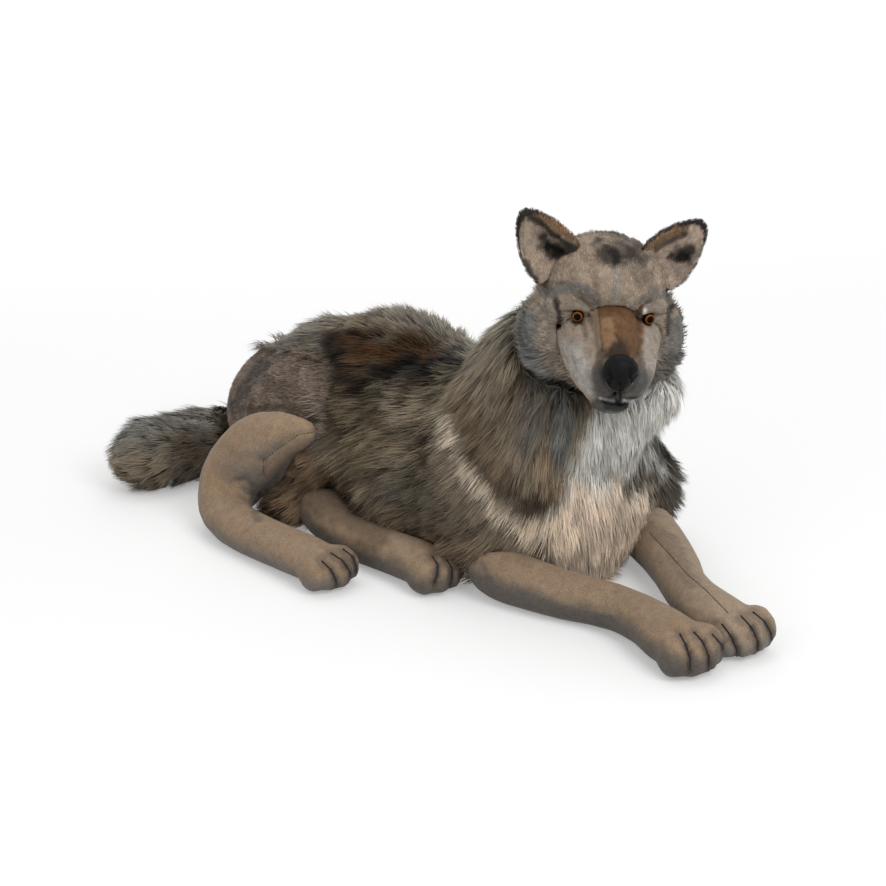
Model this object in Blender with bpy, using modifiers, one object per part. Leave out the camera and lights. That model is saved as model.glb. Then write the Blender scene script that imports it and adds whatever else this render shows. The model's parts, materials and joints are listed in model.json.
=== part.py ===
"""A stuffed plush wolf, lying on its belly with both hind legs thrown to its right side.

The wolf faces -Y, its own left is +X and up is +Z. It rests on the plane z = 0, and the
origin is the middle of its footprint. Each sewn and stuffed section is one closed solid.
All lengths are in metres and all angles in degrees.
"""
import math

import bmesh
import bpy
from mathutils import Euler, Matrix, Vector

# Seams and fabric
SEAM_GAP = 0.0003
FLOOR_SINK = 0.014
SOLE_THICKNESS = 0.010
SOLE_LENGTH = 0.095
EAR_SHELL_THICKNESS = 0.008
EAR_LINING_THICKNESS = 0.0025

# Trunk: heights above the floor, and places along the body measured from the shoulder
BODY_MIDLINE_X = 0.045
SHOULDER_Y = -0.105
RIBS_BEHIND_SHOULDER = 0.115
LOIN_BEHIND_SHOULDER = 0.235
RUMP_BEHIND_SHOULDER = 0.37
SHOULDER_TOP = 0.246
RIBS_TOP = 0.241
LOIN_TOP = 0.264
RUMP_TOP = 0.200
SHOULDER_WIDTH = 0.272
RIBS_WIDTH = 0.262
LOIN_WIDTH = 0.250
RUMP_WIDTH = 0.250
THIGH_LENGTH = 0.225
THIGH_DEPTH = 0.165

# Neck and chest
NECK_RADIUS = 0.092
MANE_DROP = 0.105
BIB_DEPTH = 0.26
BIB_WIDTH = 0.215

# Head, in its own frame: skull centre at the origin, nose towards -Y
HEAD_CENTRE = Vector((0.020, -0.238, 0.343))
HEAD_TURN = -39.7
HEAD_TILT = 3.8
SKULL_WIDTH = 0.138
SKULL_HEIGHT = 0.104
CHEEK_SPAN = 0.186
MUZZLE_REACH = 0.131
MUZZLE_WIDTH = 0.104
NOSE_WIDTH = 0.040
NOSE_HEIGHT = 0.041
EYE_DIAMETER = 0.016
EYE_SPACING = 0.080
EAR_HEIGHT = 0.082
EAR_WIDTH = 0.072
EAR_CUP = 0.014
EAR_SPREAD = 44.0
RIGHT_EAR_UPRIGHT = 7.0

# Legs
FORELEG_RADIUS = 0.0285
FOREPAW_WIDTH = 0.070
FOREPAW_HEIGHT = 0.056
HINDLEG_RADIUS = 0.0265
HINDPAW_WIDTH = 0.066
HINDPAW_HEIGHT = 0.050
SHANK_RADIUS = 0.043
TOES = 4

# Where each paw ends on the floor, and which way it points, from straight ahead
RIGHT_FORE_TIP = (-0.080, -0.485, 0.0)
LEFT_FORE_TIP = (-0.005, -0.492, 0.0)
RIGHT_HIND_TIP = (-0.196, -0.032, 0.0)
LEFT_HIND_TIP = (-0.109, -0.127, 0.0)
RIGHT_FORE_HEADING = -10.0
LEFT_FORE_HEADING = -16.0
RIGHT_HIND_HEADING = -3.0
LEFT_HIND_HEADING = 2.0

# Tail
TAIL_RADIUS = 0.048
TAIL_LENGTH = 0.194

# Fineness of the skins
BODY_TRIANGLES = 1960
SPHERE_SIDES = 24
SPHERE_RINGS = 14
TRUNK_VOXEL = 0.011
LIMB_VOXEL = 0.0055
FACE_VOXEL = 0.0042


def clear_scene():
    for item in list(bpy.data.objects):
        bpy.data.objects.remove(item)


def new_collection(name):
    collection = bpy.data.collections.new(name)
    bpy.context.scene.collection.children.link(collection)
    return collection


def cloth(name, colour, roughness=0.9, metallic=0.0):
    """A plain finish for one fabric or moulding."""
    finish = bpy.data.materials.new(name)
    finish.use_nodes = True
    shader = finish.node_tree.nodes["Principled BSDF"]
    shader.inputs["Base Color"].default_value = (*colour, 1.0)
    shader.inputs["Roughness"].default_value = roughness
    shader.inputs["Metallic"].default_value = metallic
    finish.diffuse_color = (*colour, 1.0)
    return finish


def settle(piece):
    """Replaces a piece's mesh with what its modifiers make of it."""
    graph = bpy.context.evaluated_depsgraph_get()
    made = bpy.data.meshes.new_from_object(piece.evaluated_get(graph))
    piece.modifiers.clear()
    piece.data = made
    return piece


def place_piece(name, mesh, finish, group):
    piece = bpy.data.objects.new(name, mesh)
    group.objects.link(piece)
    piece.data.materials.append(finish)
    return piece


def lobe(centre, radii, turn=(0.0, 0.0, 0.0)):
    """One ellipsoid of stuffing: its centre, its three radii and its turn in degrees."""
    angles = Euler([math.radians(angle) for angle in turn])
    return Matrix.LocRotScale(Vector(centre), angles, Vector(radii))


def smooth_between(values, at):
    """Catmull-Rom value at a fractional index into a list of vectors."""
    last = len(values) - 1
    i = min(int(at), last - 1)
    t = at - i
    before, here = values[max(i - 1, 0)], values[i]
    there, after = values[i + 1], values[min(i + 2, last)]
    return 0.5 * (
        2 * here
        + (there - before) * t
        + (2 * before - 5 * here + 4 * there - after) * t**2
        + (3 * here - before - 3 * there + after) * t**3
    )


def limb(stations, beads_per_span=7):
    """Overlapping ellipsoids strung along a smooth line through the stations.

    A station is its centre, its half-width and its half-height.
    """
    centres = [Vector(station[0]) for station in stations]
    sizes = [Vector((station[1], station[2], 0.0)) for station in stations]
    spans = len(stations) - 1
    beads = []
    for step in range(spans * beads_per_span + 1):
        at = step / beads_per_span
        centre = smooth_between(centres, at)
        ahead = smooth_between(centres, min(at + 0.05, spans))
        behind = smooth_between(centres, max(at - 0.05, 0.0))
        size = smooth_between(sizes, at)
        along = (ahead - behind).to_track_quat("Y", "Z")
        length = min(size.x, size.y)
        beads.append(Matrix.LocRotScale(centre, along, Vector((size.x, length, size.y))))
    return beads


def stuffed(name, lobes, finish, group, voxel, softening, triangles):
    """One closed skin drawn over overlapping lobes, flat where it lies on the floor."""
    shape = bmesh.new()
    for place in lobes:
        bmesh.ops.create_uvsphere(
            shape, u_segments=SPHERE_SIDES, v_segments=SPHERE_RINGS, radius=1.0, matrix=place
        )
    mesh = bpy.data.meshes.new(name)
    shape.to_mesh(mesh)
    shape.free()
    piece = place_piece(name, mesh, finish, group)
    skin = piece.modifiers.new("skin", "REMESH")
    skin.mode = "VOXEL"
    skin.voxel_size = voxel
    soften = piece.modifiers.new("soften", "SMOOTH")
    soften.factor = 0.5
    soften.iterations = softening
    settle(piece)
    press_on_floor(piece)
    thin_out(piece, triangles)
    press_on_floor(piece)
    piece.data.shade_smooth()
    keep_mould(piece)
    return piece


def press_on_floor(piece):
    """Flattens what would lie below the floor, or within half a millimetre of it."""
    place = piece.matrix_world
    back = place.inverted()
    for vertex in piece.data.vertices:
        spot = place @ vertex.co
        if spot.z < 0.0005:
            vertex.co = back @ Vector((spot.x, spot.y, 0.0))


def thin_out(piece, triangles):
    """Leaves about this many triangles, the fewest where the form is plain."""
    count = sum(len(face.vertices) - 2 for face in piece.data.polygons)
    fewer = piece.modifiers.new("fewer", "DECIMATE")
    fewer.ratio = min(1.0, triangles / count)
    fewer.use_collapse_triangulate = True
    settle(piece)


def keep_mould(piece):
    """Keeps a copy of an uncut piece, grown by a seam's gap, to hollow others out with."""
    mould = piece.copy()
    mould.data = piece.data.copy()
    mould.name = piece.name + "_mould"
    TOOLS.objects.link(mould)
    mould.hide_render = True
    mould.display_type = "WIRE"
    grow = mould.modifiers.new("grow", "DISPLACE")
    grow.strength = SEAM_GAP * 1.5
    grow.mid_level = 0.0
    settle(mould)
    MOULDS[piece.name] = mould


def hollow(piece, cutter):
    """Takes the cutter's volume out of a piece."""
    step = piece.modifiers.new("step", "BOOLEAN")
    step.operation = "DIFFERENCE"
    step.solver = "EXACT"
    step.object = cutter
    bpy.context.view_layer.update()
    settle(piece)


def seat(host, *guests):
    """Hollows the host out around each guest, a seam's gap clear of it."""
    for guest in guests:
        hollow(host, MOULDS[guest.name])


def barrel(behind_shoulder, top, width, length):
    """A lobe of the trunk that lies on the floor and is squashed a little by its weight."""
    half_height = (top + FLOOR_SINK) / 2
    centre = (BODY_MIDLINE_X, SHOULDER_Y + behind_shoulder, top - half_height)
    return lobe(centre, (width / 2, length, half_height))


def make_body():
    """The whole stuffed trunk, neck and chest as one skin, before it is parted at its seams."""
    loin_y = SHOULDER_Y + LOIN_BEHIND_SHOULDER
    rump_y = SHOULDER_Y + RUMP_BEHIND_SHOULDER
    drop = SHOULDER_TOP - MANE_DROP + 0.028
    neck_foot = Vector((BODY_MIDLINE_X - 0.004, SHOULDER_Y - 0.005, SHOULDER_TOP - 0.075))
    neck_top = HEAD_CENTRE + Vector((0.004, 0.040, -0.050))
    middle = neck_foot.lerp(neck_top, 0.55)
    lobes = [
        barrel(0.0, SHOULDER_TOP, SHOULDER_WIDTH, 0.115),
        barrel(RIBS_BEHIND_SHOULDER, RIBS_TOP, RIBS_WIDTH, 0.135),
        barrel(LOIN_BEHIND_SHOULDER, LOIN_TOP, LOIN_WIDTH, 0.125),
        barrel(RUMP_BEHIND_SHOULDER, RUMP_TOP, RUMP_WIDTH, 0.142),
        lobe((BODY_MIDLINE_X - 0.01, loin_y + 0.09, 0.135), (0.098, 0.125, 0.100), (-18, 0, 0)),
        lobe((-0.045, rump_y - 0.075, 0.118), (THIGH_DEPTH / 2, THIGH_LENGTH / 2, 0.080), (0, 12, -14)),
        lobe((-0.015, rump_y - 0.085, 0.055), (0.085, 0.075, 0.060)),
        lobe((-0.032, SHOULDER_Y + 0.110, 0.085), (0.078, 0.110, 0.080), (0, 22, 0)),
        lobe((-0.030, SHOULDER_Y - 0.050, drop), (0.068, 0.072, 0.098), (0, 18, 0)),
        lobe((0.125, SHOULDER_Y - 0.040, drop), (0.066, 0.072, 0.098), (0, -18, 0)),
        lobe((0.040, SHOULDER_Y - 0.080, 0.105), (BIB_WIDTH / 2, 0.072, BIB_DEPTH / 2)),
        lobe((0.030, SHOULDER_Y - 0.115, 0.205), (0.070, 0.055, 0.085), (14, 0, -14)),
        lobe((-0.062, SHOULDER_Y - 0.020, 0.105), (0.050, 0.066, 0.100), (0, 0, 14)),
        lobe((0.164, SHOULDER_Y - 0.055, 0.072), (0.060, 0.064, 0.080)),
        lobe((0.082, SHOULDER_Y - 0.143, 0.242), (0.044, 0.044, 0.056)),
        lobe((-0.084, rump_y - 0.088, 0.028), (0.044, 0.054, 0.034)),
    ]
    lobes += limb(
        (
            (neck_foot, NECK_RADIUS * 1.32, NECK_RADIUS * 1.10),
            (middle, NECK_RADIUS * 1.08, NECK_RADIUS * 1.07),
            (neck_top, NECK_RADIUS * 0.80, NECK_RADIUS * 0.80),
        )
    )
    return stuffed("torso", lobes, COAT, WOLF, TRUNK_VOXEL, 16, BODY_TRIANGLES)


def part_at_seam(piece, name, point, towards, finish):
    """Parts a piece along a flat seam; what lies towards the direction becomes a new piece."""
    beyond = place_piece(name, piece.data.copy(), finish, WOLF)
    beyond.data.materials.clear()
    beyond.data.materials.append(finish)
    direction = Vector(towards).normalized()
    half_gap = direction * (SEAM_GAP * 0.75)
    for half, at, keep in ((piece, point - half_gap, -direction), (beyond, point + half_gap, direction)):
        shape = bmesh.new()
        shape.from_mesh(half.data)
        everything = shape.verts[:] + shape.edges[:] + shape.faces[:]
        bmesh.ops.bisect_plane(
            shape, geom=everything, dist=0.000001, plane_co=at, plane_no=keep, clear_inner=True
        )
        rim = [edge for edge in shape.edges if edge.is_boundary]
        bmesh.ops.holes_fill(shape, edges=rim, sides=0)
        bmesh.ops.recalc_face_normals(shape, faces=shape.faces)
        shape.to_mesh(half.data)
        shape.free()
    return beyond


def part_body(torso):
    """Parts the skin into rump, saddle, mane and bib along their seams."""
    rump = part_at_seam(
        torso, "rump", Vector((0.0, SHOULDER_Y + 0.285, 0.10)), (-0.30, 1.0, 0.10), RUMP_PILE
    )
    mane = part_at_seam(
        torso, "neck_mane", Vector((0.0, SHOULDER_Y + 0.010, 0.13)), (-0.10, -0.80, 0.62), MANE_PILE
    )
    bib = part_at_seam(
        mane, "chest_bib", Vector((0.04, SHOULDER_Y - 0.118, 0.12)), (-0.12, -1.0, -0.30), BIB_PILE
    )
    return rump, mane, bib


def make_tail():
    """A bushy tail lying on the floor, curled to the wolf's right."""
    root = Vector((BODY_MIDLINE_X - 0.010, SHOULDER_Y + 0.450, 0.050))
    reach = TAIL_LENGTH
    stations = (
        (root, TAIL_RADIUS * 0.78, TAIL_RADIUS * 0.80),
        (root + Vector((-0.12, 0.20, -0.03)) * reach, TAIL_RADIUS * 0.90, TAIL_RADIUS * 0.88),
        (root + Vector((-0.46, 0.27, -0.05)) * reach, TAIL_RADIUS * 0.97, TAIL_RADIUS * 0.96),
        (root + Vector((-0.88, 0.32, -0.03)) * reach, TAIL_RADIUS * 0.94, TAIL_RADIUS * 0.98),
    )
    return stuffed("tail", limb(stations), TAIL_PILE, WOLF, TRUNK_VOXEL, 6, 340)


def toe_lobes(tip, heading, width, height):
    """Four toes side by side at the front of a paw, the middle two a little ahead."""
    forward = Vector((math.sin(math.radians(heading)), -math.cos(math.radians(heading)), 0.0))
    aside = Vector((-forward.y, forward.x, 0.0))
    toes = []
    pitch = width / TOES
    for index in range(TOES):
        offset = index - (TOES - 1) / 2
        back = 0.006 * abs(offset) ** 1.6
        centre = tip - forward * (0.020 + back) + aside * (offset * pitch)
        centre.z = height * 0.46
        radii = (pitch * 0.72, 0.026, height * 0.47)
        toes.append(lobe(centre, radii, (0, 0, heading + 7 * offset)))
    return toes


def make_leg(name, stations, tip, heading, width, height, triangles):
    """A velour leg with its paw: beads along the bone line, then the toes."""
    lobes = limb(stations) + toe_lobes(Vector(tip), heading, width, height)
    return stuffed(name, lobes, VELOUR, WOLF, LIMB_VOXEL, 3, triangles)


def make_forelegs():
    r = FORELEG_RADIUS
    half_paw = FOREPAW_WIDTH / 2
    low = r - 0.001
    right = make_leg(
        "right_foreleg",
        (
            ((-0.040, -0.118, 0.040), r * 1.10, r * 1.20),
            ((-0.074, -0.166, 0.033), r * 1.12, r * 1.15),
            ((-0.064, -0.245, low), r * 1.04, r * 1.02),
            ((-0.048, -0.318, low), r * 0.92, r * 0.95),
            ((-0.052, -0.372, low), r * 0.98, r * 0.96),
            ((-0.067, -0.420, low), half_paw * 0.98, FOREPAW_HEIGHT * 0.50),
            ((-0.074, -0.443, low), half_paw * 0.90, FOREPAW_HEIGHT * 0.46),
        ),
        RIGHT_FORE_TIP, RIGHT_FORE_HEADING, FOREPAW_WIDTH, FOREPAW_HEIGHT, 560,
    )
    left = make_leg(
        "left_foreleg",
        (
            ((0.150, -0.175, 0.040), r * 1.35, r * 1.30),
            ((0.122, -0.240, 0.034), r * 1.18, r * 1.18),
            ((0.085, -0.300, 0.030), r * 1.04, r * 1.05),
            ((0.056, -0.338, low), r * 0.95, r * 0.97),
            ((0.030, -0.380, low), r * 1.00, r * 0.97),
            ((0.012, -0.422, low), half_paw * 0.98, FOREPAW_HEIGHT * 0.50),
            ((0.004, -0.447, low), half_paw * 0.90, FOREPAW_HEIGHT * 0.46),
        ),
        LEFT_FORE_TIP, LEFT_FORE_HEADING, FOREPAW_WIDTH, FOREPAW_HEIGHT, 560,
    )
    return right, left


def make_hindlegs():
    r = HINDLEG_RADIUS
    half_paw = HINDPAW_WIDTH / 2
    low = r - 0.001
    right = make_leg(
        "right_hind_leg",
        (
            ((-0.113, 0.126, 0.140), SHANK_RADIUS * 0.42, SHANK_RADIUS * 0.42),
            ((-0.122, 0.158, 0.129), SHANK_RADIUS * 0.70, SHANK_RADIUS * 0.74),
            ((-0.128, 0.196, 0.102), SHANK_RADIUS * 0.94, SHANK_RADIUS * 1.06),
            ((-0.138, 0.230, 0.062), SHANK_RADIUS * 0.88, SHANK_RADIUS * 1.00),
            ((-0.160, 0.228, 0.032), r * 1.22, r * 1.25),
            ((-0.184, 0.176, low), r * 1.08, r * 1.08),
            ((-0.192, 0.110, low), r * 1.00, r * 1.04),
            ((-0.193, 0.048, low), half_paw * 0.92, HINDPAW_HEIGHT * 0.52),
            ((-0.194, 0.019, low), half_paw * 0.90, HINDPAW_HEIGHT * 0.48),
        ),
        RIGHT_HIND_TIP, RIGHT_HIND_HEADING, HINDPAW_WIDTH, HINDPAW_HEIGHT, 560,
    )
    left = make_leg(
        "left_hind_leg",
        (
            ((-0.050, 0.170, 0.040), r * 1.45, r * 1.40),
            ((-0.084, 0.125, 0.032), r * 1.22, r * 1.18),
            ((-0.108, 0.055, low), r * 1.02, r * 1.04),
            ((-0.111, -0.015, low), r * 0.98, r * 1.00),
            ((-0.110, -0.058, low), half_paw * 0.92, HINDPAW_HEIGHT * 0.52),
            ((-0.110, -0.080, low), half_paw * 0.90, HINDPAW_HEIGHT * 0.48),
        ),
        LEFT_HIND_TIP, LEFT_HIND_HEADING, HINDPAW_WIDTH, HINDPAW_HEIGHT, 500,
    )
    return right, left


def head_frame():
    """Where the head's own frame lies: turned towards the wolf's right and tilted."""
    turn = Euler((0.0, math.radians(HEAD_TILT), math.radians(HEAD_TURN)))
    return Matrix.LocRotScale(HEAD_CENTRE, turn, Vector((1.0, 1.0, 1.0)))


def both_sides(centre, radii, turn=(0.0, 0.0, 0.0)):
    """A lobe of the head and its mirror image."""
    x, y, z = centre
    tip, roll, yaw = turn
    return [lobe((x, y, z), radii, turn), lobe((-x, y, z), radii, (tip, -roll, -yaw))]


def in_head(lobes):
    frame = head_frame()
    return [frame @ place for place in lobes]


def make_head():
    """Skull, brow and full cheeks."""
    cheek = CHEEK_SPAN / 2
    lobes = [
        lobe((0, 0.012, 0.034), (SKULL_WIDTH / 2, 0.078, SKULL_HEIGHT / 2)),
        lobe((0, 0.040, -0.005), (0.070, 0.056, 0.070)),
        lobe((0, -0.026, 0.036), (0.054, 0.037, 0.034)),
        lobe((0, -0.018, -0.046), (0.058, 0.048, 0.036)),
    ]
    lobes += both_sides((cheek - 0.048, 0.004, -0.026), (0.048, 0.048, 0.054))
    lobes += both_sides((0.040, -0.030, 0.012), (0.032, 0.026, 0.026))
    return stuffed("head", in_head(lobes), FACE_PILE, WOLF, FACE_VOXEL, 6, 620)


def make_muzzle():
    """Bridge, two lip pads and the chin, each its own sewn section."""
    half = MUZZLE_WIDTH / 2
    reach = MUZZLE_REACH
    bridge = limb(
        (
            ((0, -0.050, 0.008), 0.027, 0.020),
            ((0, -0.078, -0.003), 0.024, 0.020),
            ((0, -(reach - 0.022), -0.024), 0.021, 0.018),
        )
    )
    pads = []
    for side in (-1, 1):
        pad = limb(
            (
                ((side * (half - 0.016), -0.038, -0.014), 0.022, 0.027),
                ((side * (half - 0.024), -0.066, -0.029), 0.024, 0.030),
                ((side * 0.022, -0.090, -0.041), 0.022, 0.027),
                ((side * 0.016, -(reach - 0.024), -0.046), 0.018, 0.020),
            )
        )
        pads.append(pad)
    chin = limb(
        (
            ((0, -0.050, -0.065), 0.033, 0.018),
            ((0, -(reach - 0.040), -0.074), 0.022, 0.0145),
        )
    )
    ridge = stuffed("muzzle_bridge", in_head(bridge), BRIDGE_VELOUR, WOLF, FACE_VOXEL, 3, 170)
    right = stuffed("right_lip_pad", in_head(pads[0]), MASK_VELOUR, WOLF, FACE_VOXEL, 3, 200)
    left = stuffed("left_lip_pad", in_head(pads[1]), MASK_VELOUR, WOLF, FACE_VOXEL, 3, 200)
    jaw = stuffed("chin", in_head(chin), MASK_VELOUR, WOLF, FACE_VOXEL, 3, 130)
    return ridge, right, left, jaw


def make_eyelid(name, side):
    pads = limb(
        (
            ((side * 0.030, -0.0575, 0.0200), 0.0060, 0.0042),
            ((side * 0.042, -0.0555, 0.0245), 0.0075, 0.0060),
            ((side * 0.056, -0.0480, 0.0190), 0.0060, 0.0045),
        )
    )
    return stuffed(name, in_head(pads), MASK_VELOUR, WOLF, FACE_VOXEL * 0.6, 2, 90)


def make_eye(name, side):
    """A moulded eye, its outer face a shallow dome turned a little outwards."""
    radius = EYE_DIAMETER / 2
    shape = bmesh.new()
    bmesh.ops.create_uvsphere(shape, u_segments=12, v_segments=8, radius=radius)
    mesh = bpy.data.meshes.new(name)
    shape.to_mesh(mesh)
    shape.free()
    eye = place_piece(name, mesh, EYE_GLOSS, WOLF)
    turn = Euler((math.radians(90), 0.0, math.radians(24 * side)))
    spot = Vector((side * EYE_SPACING / 2, -0.0575, 0.0120))
    mesh.transform(head_frame() @ Matrix.LocRotScale(spot, turn, Vector((1.0, 1.0, 0.62))))
    mesh.shade_smooth()
    keep_mould(eye)
    return eye


def make_nose():
    """A round leather nose with a nostril slit curled into each side."""
    half_width = NOSE_WIDTH / 2
    half_height = NOSE_HEIGHT / 2
    front = -(MUZZLE_REACH - 0.001)
    lobes = [
        lobe((0, front, -0.026), (half_width, 0.014, half_height * 0.86)),
        lobe((0, front + 0.003, -0.034), (half_width * 0.72, 0.013, half_height * 0.80)),
    ]
    nose = stuffed("nose", in_head(lobes), NOSE_LEATHER, WOLF, FACE_VOXEL * 0.55, 2, 180)
    for side in (-1, 1):
        slit = in_head(
            limb(
                (
                    ((side * 0.0095, front - 0.0125, -0.036), 0.0020, 0.0020),
                    ((side * 0.0135, front - 0.0105, -0.030), 0.0028, 0.0028),
                    ((side * 0.0175, front - 0.0055, -0.029), 0.0020, 0.0020),
                ),
                beads_per_span=5,
            )
        )
        cutter = stuffed("nostril", slit, NOSE_LEATHER, TOOLS, 0.0009, 1, 50)
        cutter.hide_render = True
        cutter.display_type = "WIRE"
        hollow(nose, cutter)
    return nose


def ear_point(side, across, up, size, lift):
    """A point of a cupped sheet: across -1 to 1, up 0 to 1, lifted off the ear's middle."""
    outline = (1 - up**2.4) ** 0.62 * (1.0 - 0.16 * up) * (0.80 + 0.20 * min(1.0, up / 0.3))
    half_width = EAR_WIDTH / 2
    x = across * half_width * outline * size
    u = up * size
    cup = EAR_CUP * (1 - 0.75 * u) * ((x / half_width) ** 2 - 0.35)
    lean = 0.10 * EAR_HEIGHT * u**2
    return Vector((x * side, -cup - lean + lift, (u - 0.16) * EAR_HEIGHT))


def ear_sheet(name, side, lift, thickness, size, finish):
    """A cupped sheet of one ear: the furry shell or its paler lining."""
    across_steps, up_steps = 6, 6
    shape = bmesh.new()
    rows = []
    for j in range(up_steps + 1):
        up = 0.985 * math.sin(j / up_steps * math.pi / 2)
        row = []
        for i in range(across_steps + 1):
            across = 2 * i / across_steps - 1
            row.append(shape.verts.new(ear_point(side, across, up, size, lift)))
        rows.append(row)
    for low, high in zip(rows, rows[1:]):
        for i in range(across_steps):
            shape.faces.new((low[i], low[i + 1], high[i + 1], high[i]))
    mesh = bpy.data.meshes.new(name)
    shape.to_mesh(mesh)
    shape.free()
    ear = place_piece(name, mesh, finish, WOLF)
    body = ear.modifiers.new("body", "SOLIDIFY")
    body.thickness = thickness
    body.offset = 0.0
    settle(ear)
    spread = EAR_SPREAD - (RIGHT_EAR_UPRIGHT if side < 0 else 0.0)
    stand = Matrix.LocRotScale(
        Vector((side * 0.0595, 0.006, 0.056)),
        Euler((math.radians(-4), math.radians(spread * side), math.radians(10 * side))),
        Vector((1.0, 1.0, 1.0)),
    )
    ear.data.transform(head_frame() @ stand)
    shape = bmesh.new()
    shape.from_mesh(ear.data)
    bmesh.ops.recalc_face_normals(shape, faces=shape.faces)
    shape.to_mesh(ear.data)
    shape.free()
    ear.data.shade_smooth()
    keep_mould(ear)
    return ear


def make_ears():
    ears = []
    front = -(EAR_SHELL_THICKNESS + EAR_LINING_THICKNESS) / 2 - SEAM_GAP - 0.0012
    for label, side in (("right", -1), ("left", 1)):
        shell = ear_sheet(label + "_ear", side, 0.0, EAR_SHELL_THICKNESS, 1.0, EAR_BACK)
        lining = ear_sheet(
            label + "_ear_lining", side, front, EAR_LINING_THICKNESS, 0.86, EAR_INNER
        )
        ears += [shell, lining]
    return ears


def make_sole(name, leg, tip, heading):
    """The paw's sole panel: a wedge under the toes that thins out towards the wrist."""
    forward = Vector((math.sin(math.radians(heading)), -math.cos(math.radians(heading)), 0.0))
    down_and_forward = forward * SOLE_THICKNESS - Vector((0.0, 0.0, SOLE_LENGTH))
    edge = Vector(tip) + Vector((0.0, 0.0, SOLE_THICKNESS))
    return part_at_seam(leg, name, edge, down_and_forward, SOLE_CLOTH)


def rest_at_origin(pieces):
    """Hangs every piece on one empty, with the middle of the footprint at the origin."""
    corners = [piece.matrix_world @ Vector(c) for piece in pieces for c in piece.bound_box]
    middle = Vector(
        [(min(c[i] for c in corners) + max(c[i] for c in corners)) / 2 for i in range(3)]
    )
    wolf = bpy.data.objects.new("plush_wolf", None)
    WOLF.objects.link(wolf)
    for piece in pieces:
        piece.parent = wolf
    wolf.location = (-middle.x, -middle.y, 0.0)


clear_scene()
WOLF = new_collection("plush_wolf_pieces")
TOOLS = new_collection("cutters")
MOULDS = {}

COAT = cloth("coat", (0.105, 0.082, 0.058))
RUMP_PILE = cloth("rump_pile", (0.085, 0.062, 0.047))
MANE_PILE = cloth("mane_pile", (0.080, 0.070, 0.055))
BIB_PILE = cloth("bib_pile", (0.47, 0.42, 0.35))
TAIL_PILE = cloth("tail_pile", (0.115, 0.10, 0.080))
FACE_PILE = cloth("face_pile", (0.24, 0.19, 0.145))
MASK_VELOUR = cloth("mask_velour", (0.24, 0.195, 0.150))
BRIDGE_VELOUR = cloth("bridge_velour", (0.150, 0.086, 0.045))
VELOUR = cloth("leg_velour", (0.215, 0.152, 0.100))
SOLE_CLOTH = cloth("sole_cloth", (0.20, 0.19, 0.18))
EAR_BACK = cloth("ear_back", (0.050, 0.032, 0.020))
EAR_INNER = cloth("ear_inner", (0.23, 0.17, 0.125))
NOSE_LEATHER = cloth("nose_leather", (0.014, 0.014, 0.014), 0.45)
EYE_GLOSS = cloth("eye_gloss", (0.12, 0.045, 0.008), 0.08)

body = make_body()
tail = make_tail()
head = make_head()
bridge, right_pad, left_pad, chin = make_muzzle()
eyelids = [make_eyelid("right_upper_eyelid", -1), make_eyelid("left_upper_eyelid", 1)]
eyes = [make_eye("right_eye", -1), make_eye("left_eye", 1)]
nose = make_nose()
ears = make_ears()
right_foreleg, left_foreleg = make_forelegs()
right_hind, left_hind = make_hindlegs()

# The face: each section is let into the one behind it
seat(bridge, nose)
for pad in (right_pad, left_pad):
    seat(pad, bridge, nose, *eyes)
seat(left_pad, right_pad)
seat(chin, right_pad, left_pad)
for lid in eyelids:
    seat(lid, right_pad, left_pad, *eyes)
seat(head, bridge, right_pad, left_pad, chin, *eyelids, *eyes, *ears)

# The body: legs and tail are sewn against its skin, and the neck ends inside the head
for limb_piece in (right_foreleg, left_foreleg, right_hind, left_hind, tail):
    seat(limb_piece, body)
seat(body, head, chin)
rump, mane, bib = part_body(body)
make_sole("right_forepaw_sole", right_foreleg, RIGHT_FORE_TIP, RIGHT_FORE_HEADING)
make_sole("left_forepaw_sole", left_foreleg, LEFT_FORE_TIP, LEFT_FORE_HEADING)
make_sole("right_hind_paw_sole", right_hind, RIGHT_HIND_TIP, RIGHT_HIND_HEADING)
make_sole("left_hind_paw_sole", left_hind, LEFT_HIND_TIP, LEFT_HIND_HEADING)

rest_at_origin([piece for piece in WOLF.objects if piece.type == "MESH"])
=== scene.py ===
# %% [markdown]
# # A plush wolf, dressed around its frame
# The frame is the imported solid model: one closed solid for each sewn section. On the real
# toy those sections are cloth bags full of fibre. Here each group of bags gets one soft skin,
# the skin is painted, and pile is grown on it. The frame's places and sizes are only read.

# %% Load the frame
import json
import math

import bmesh
import bpy
import numpy as np
from mathutils import Matrix, Vector
from mathutils.bvhtree import BVHTree

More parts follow.
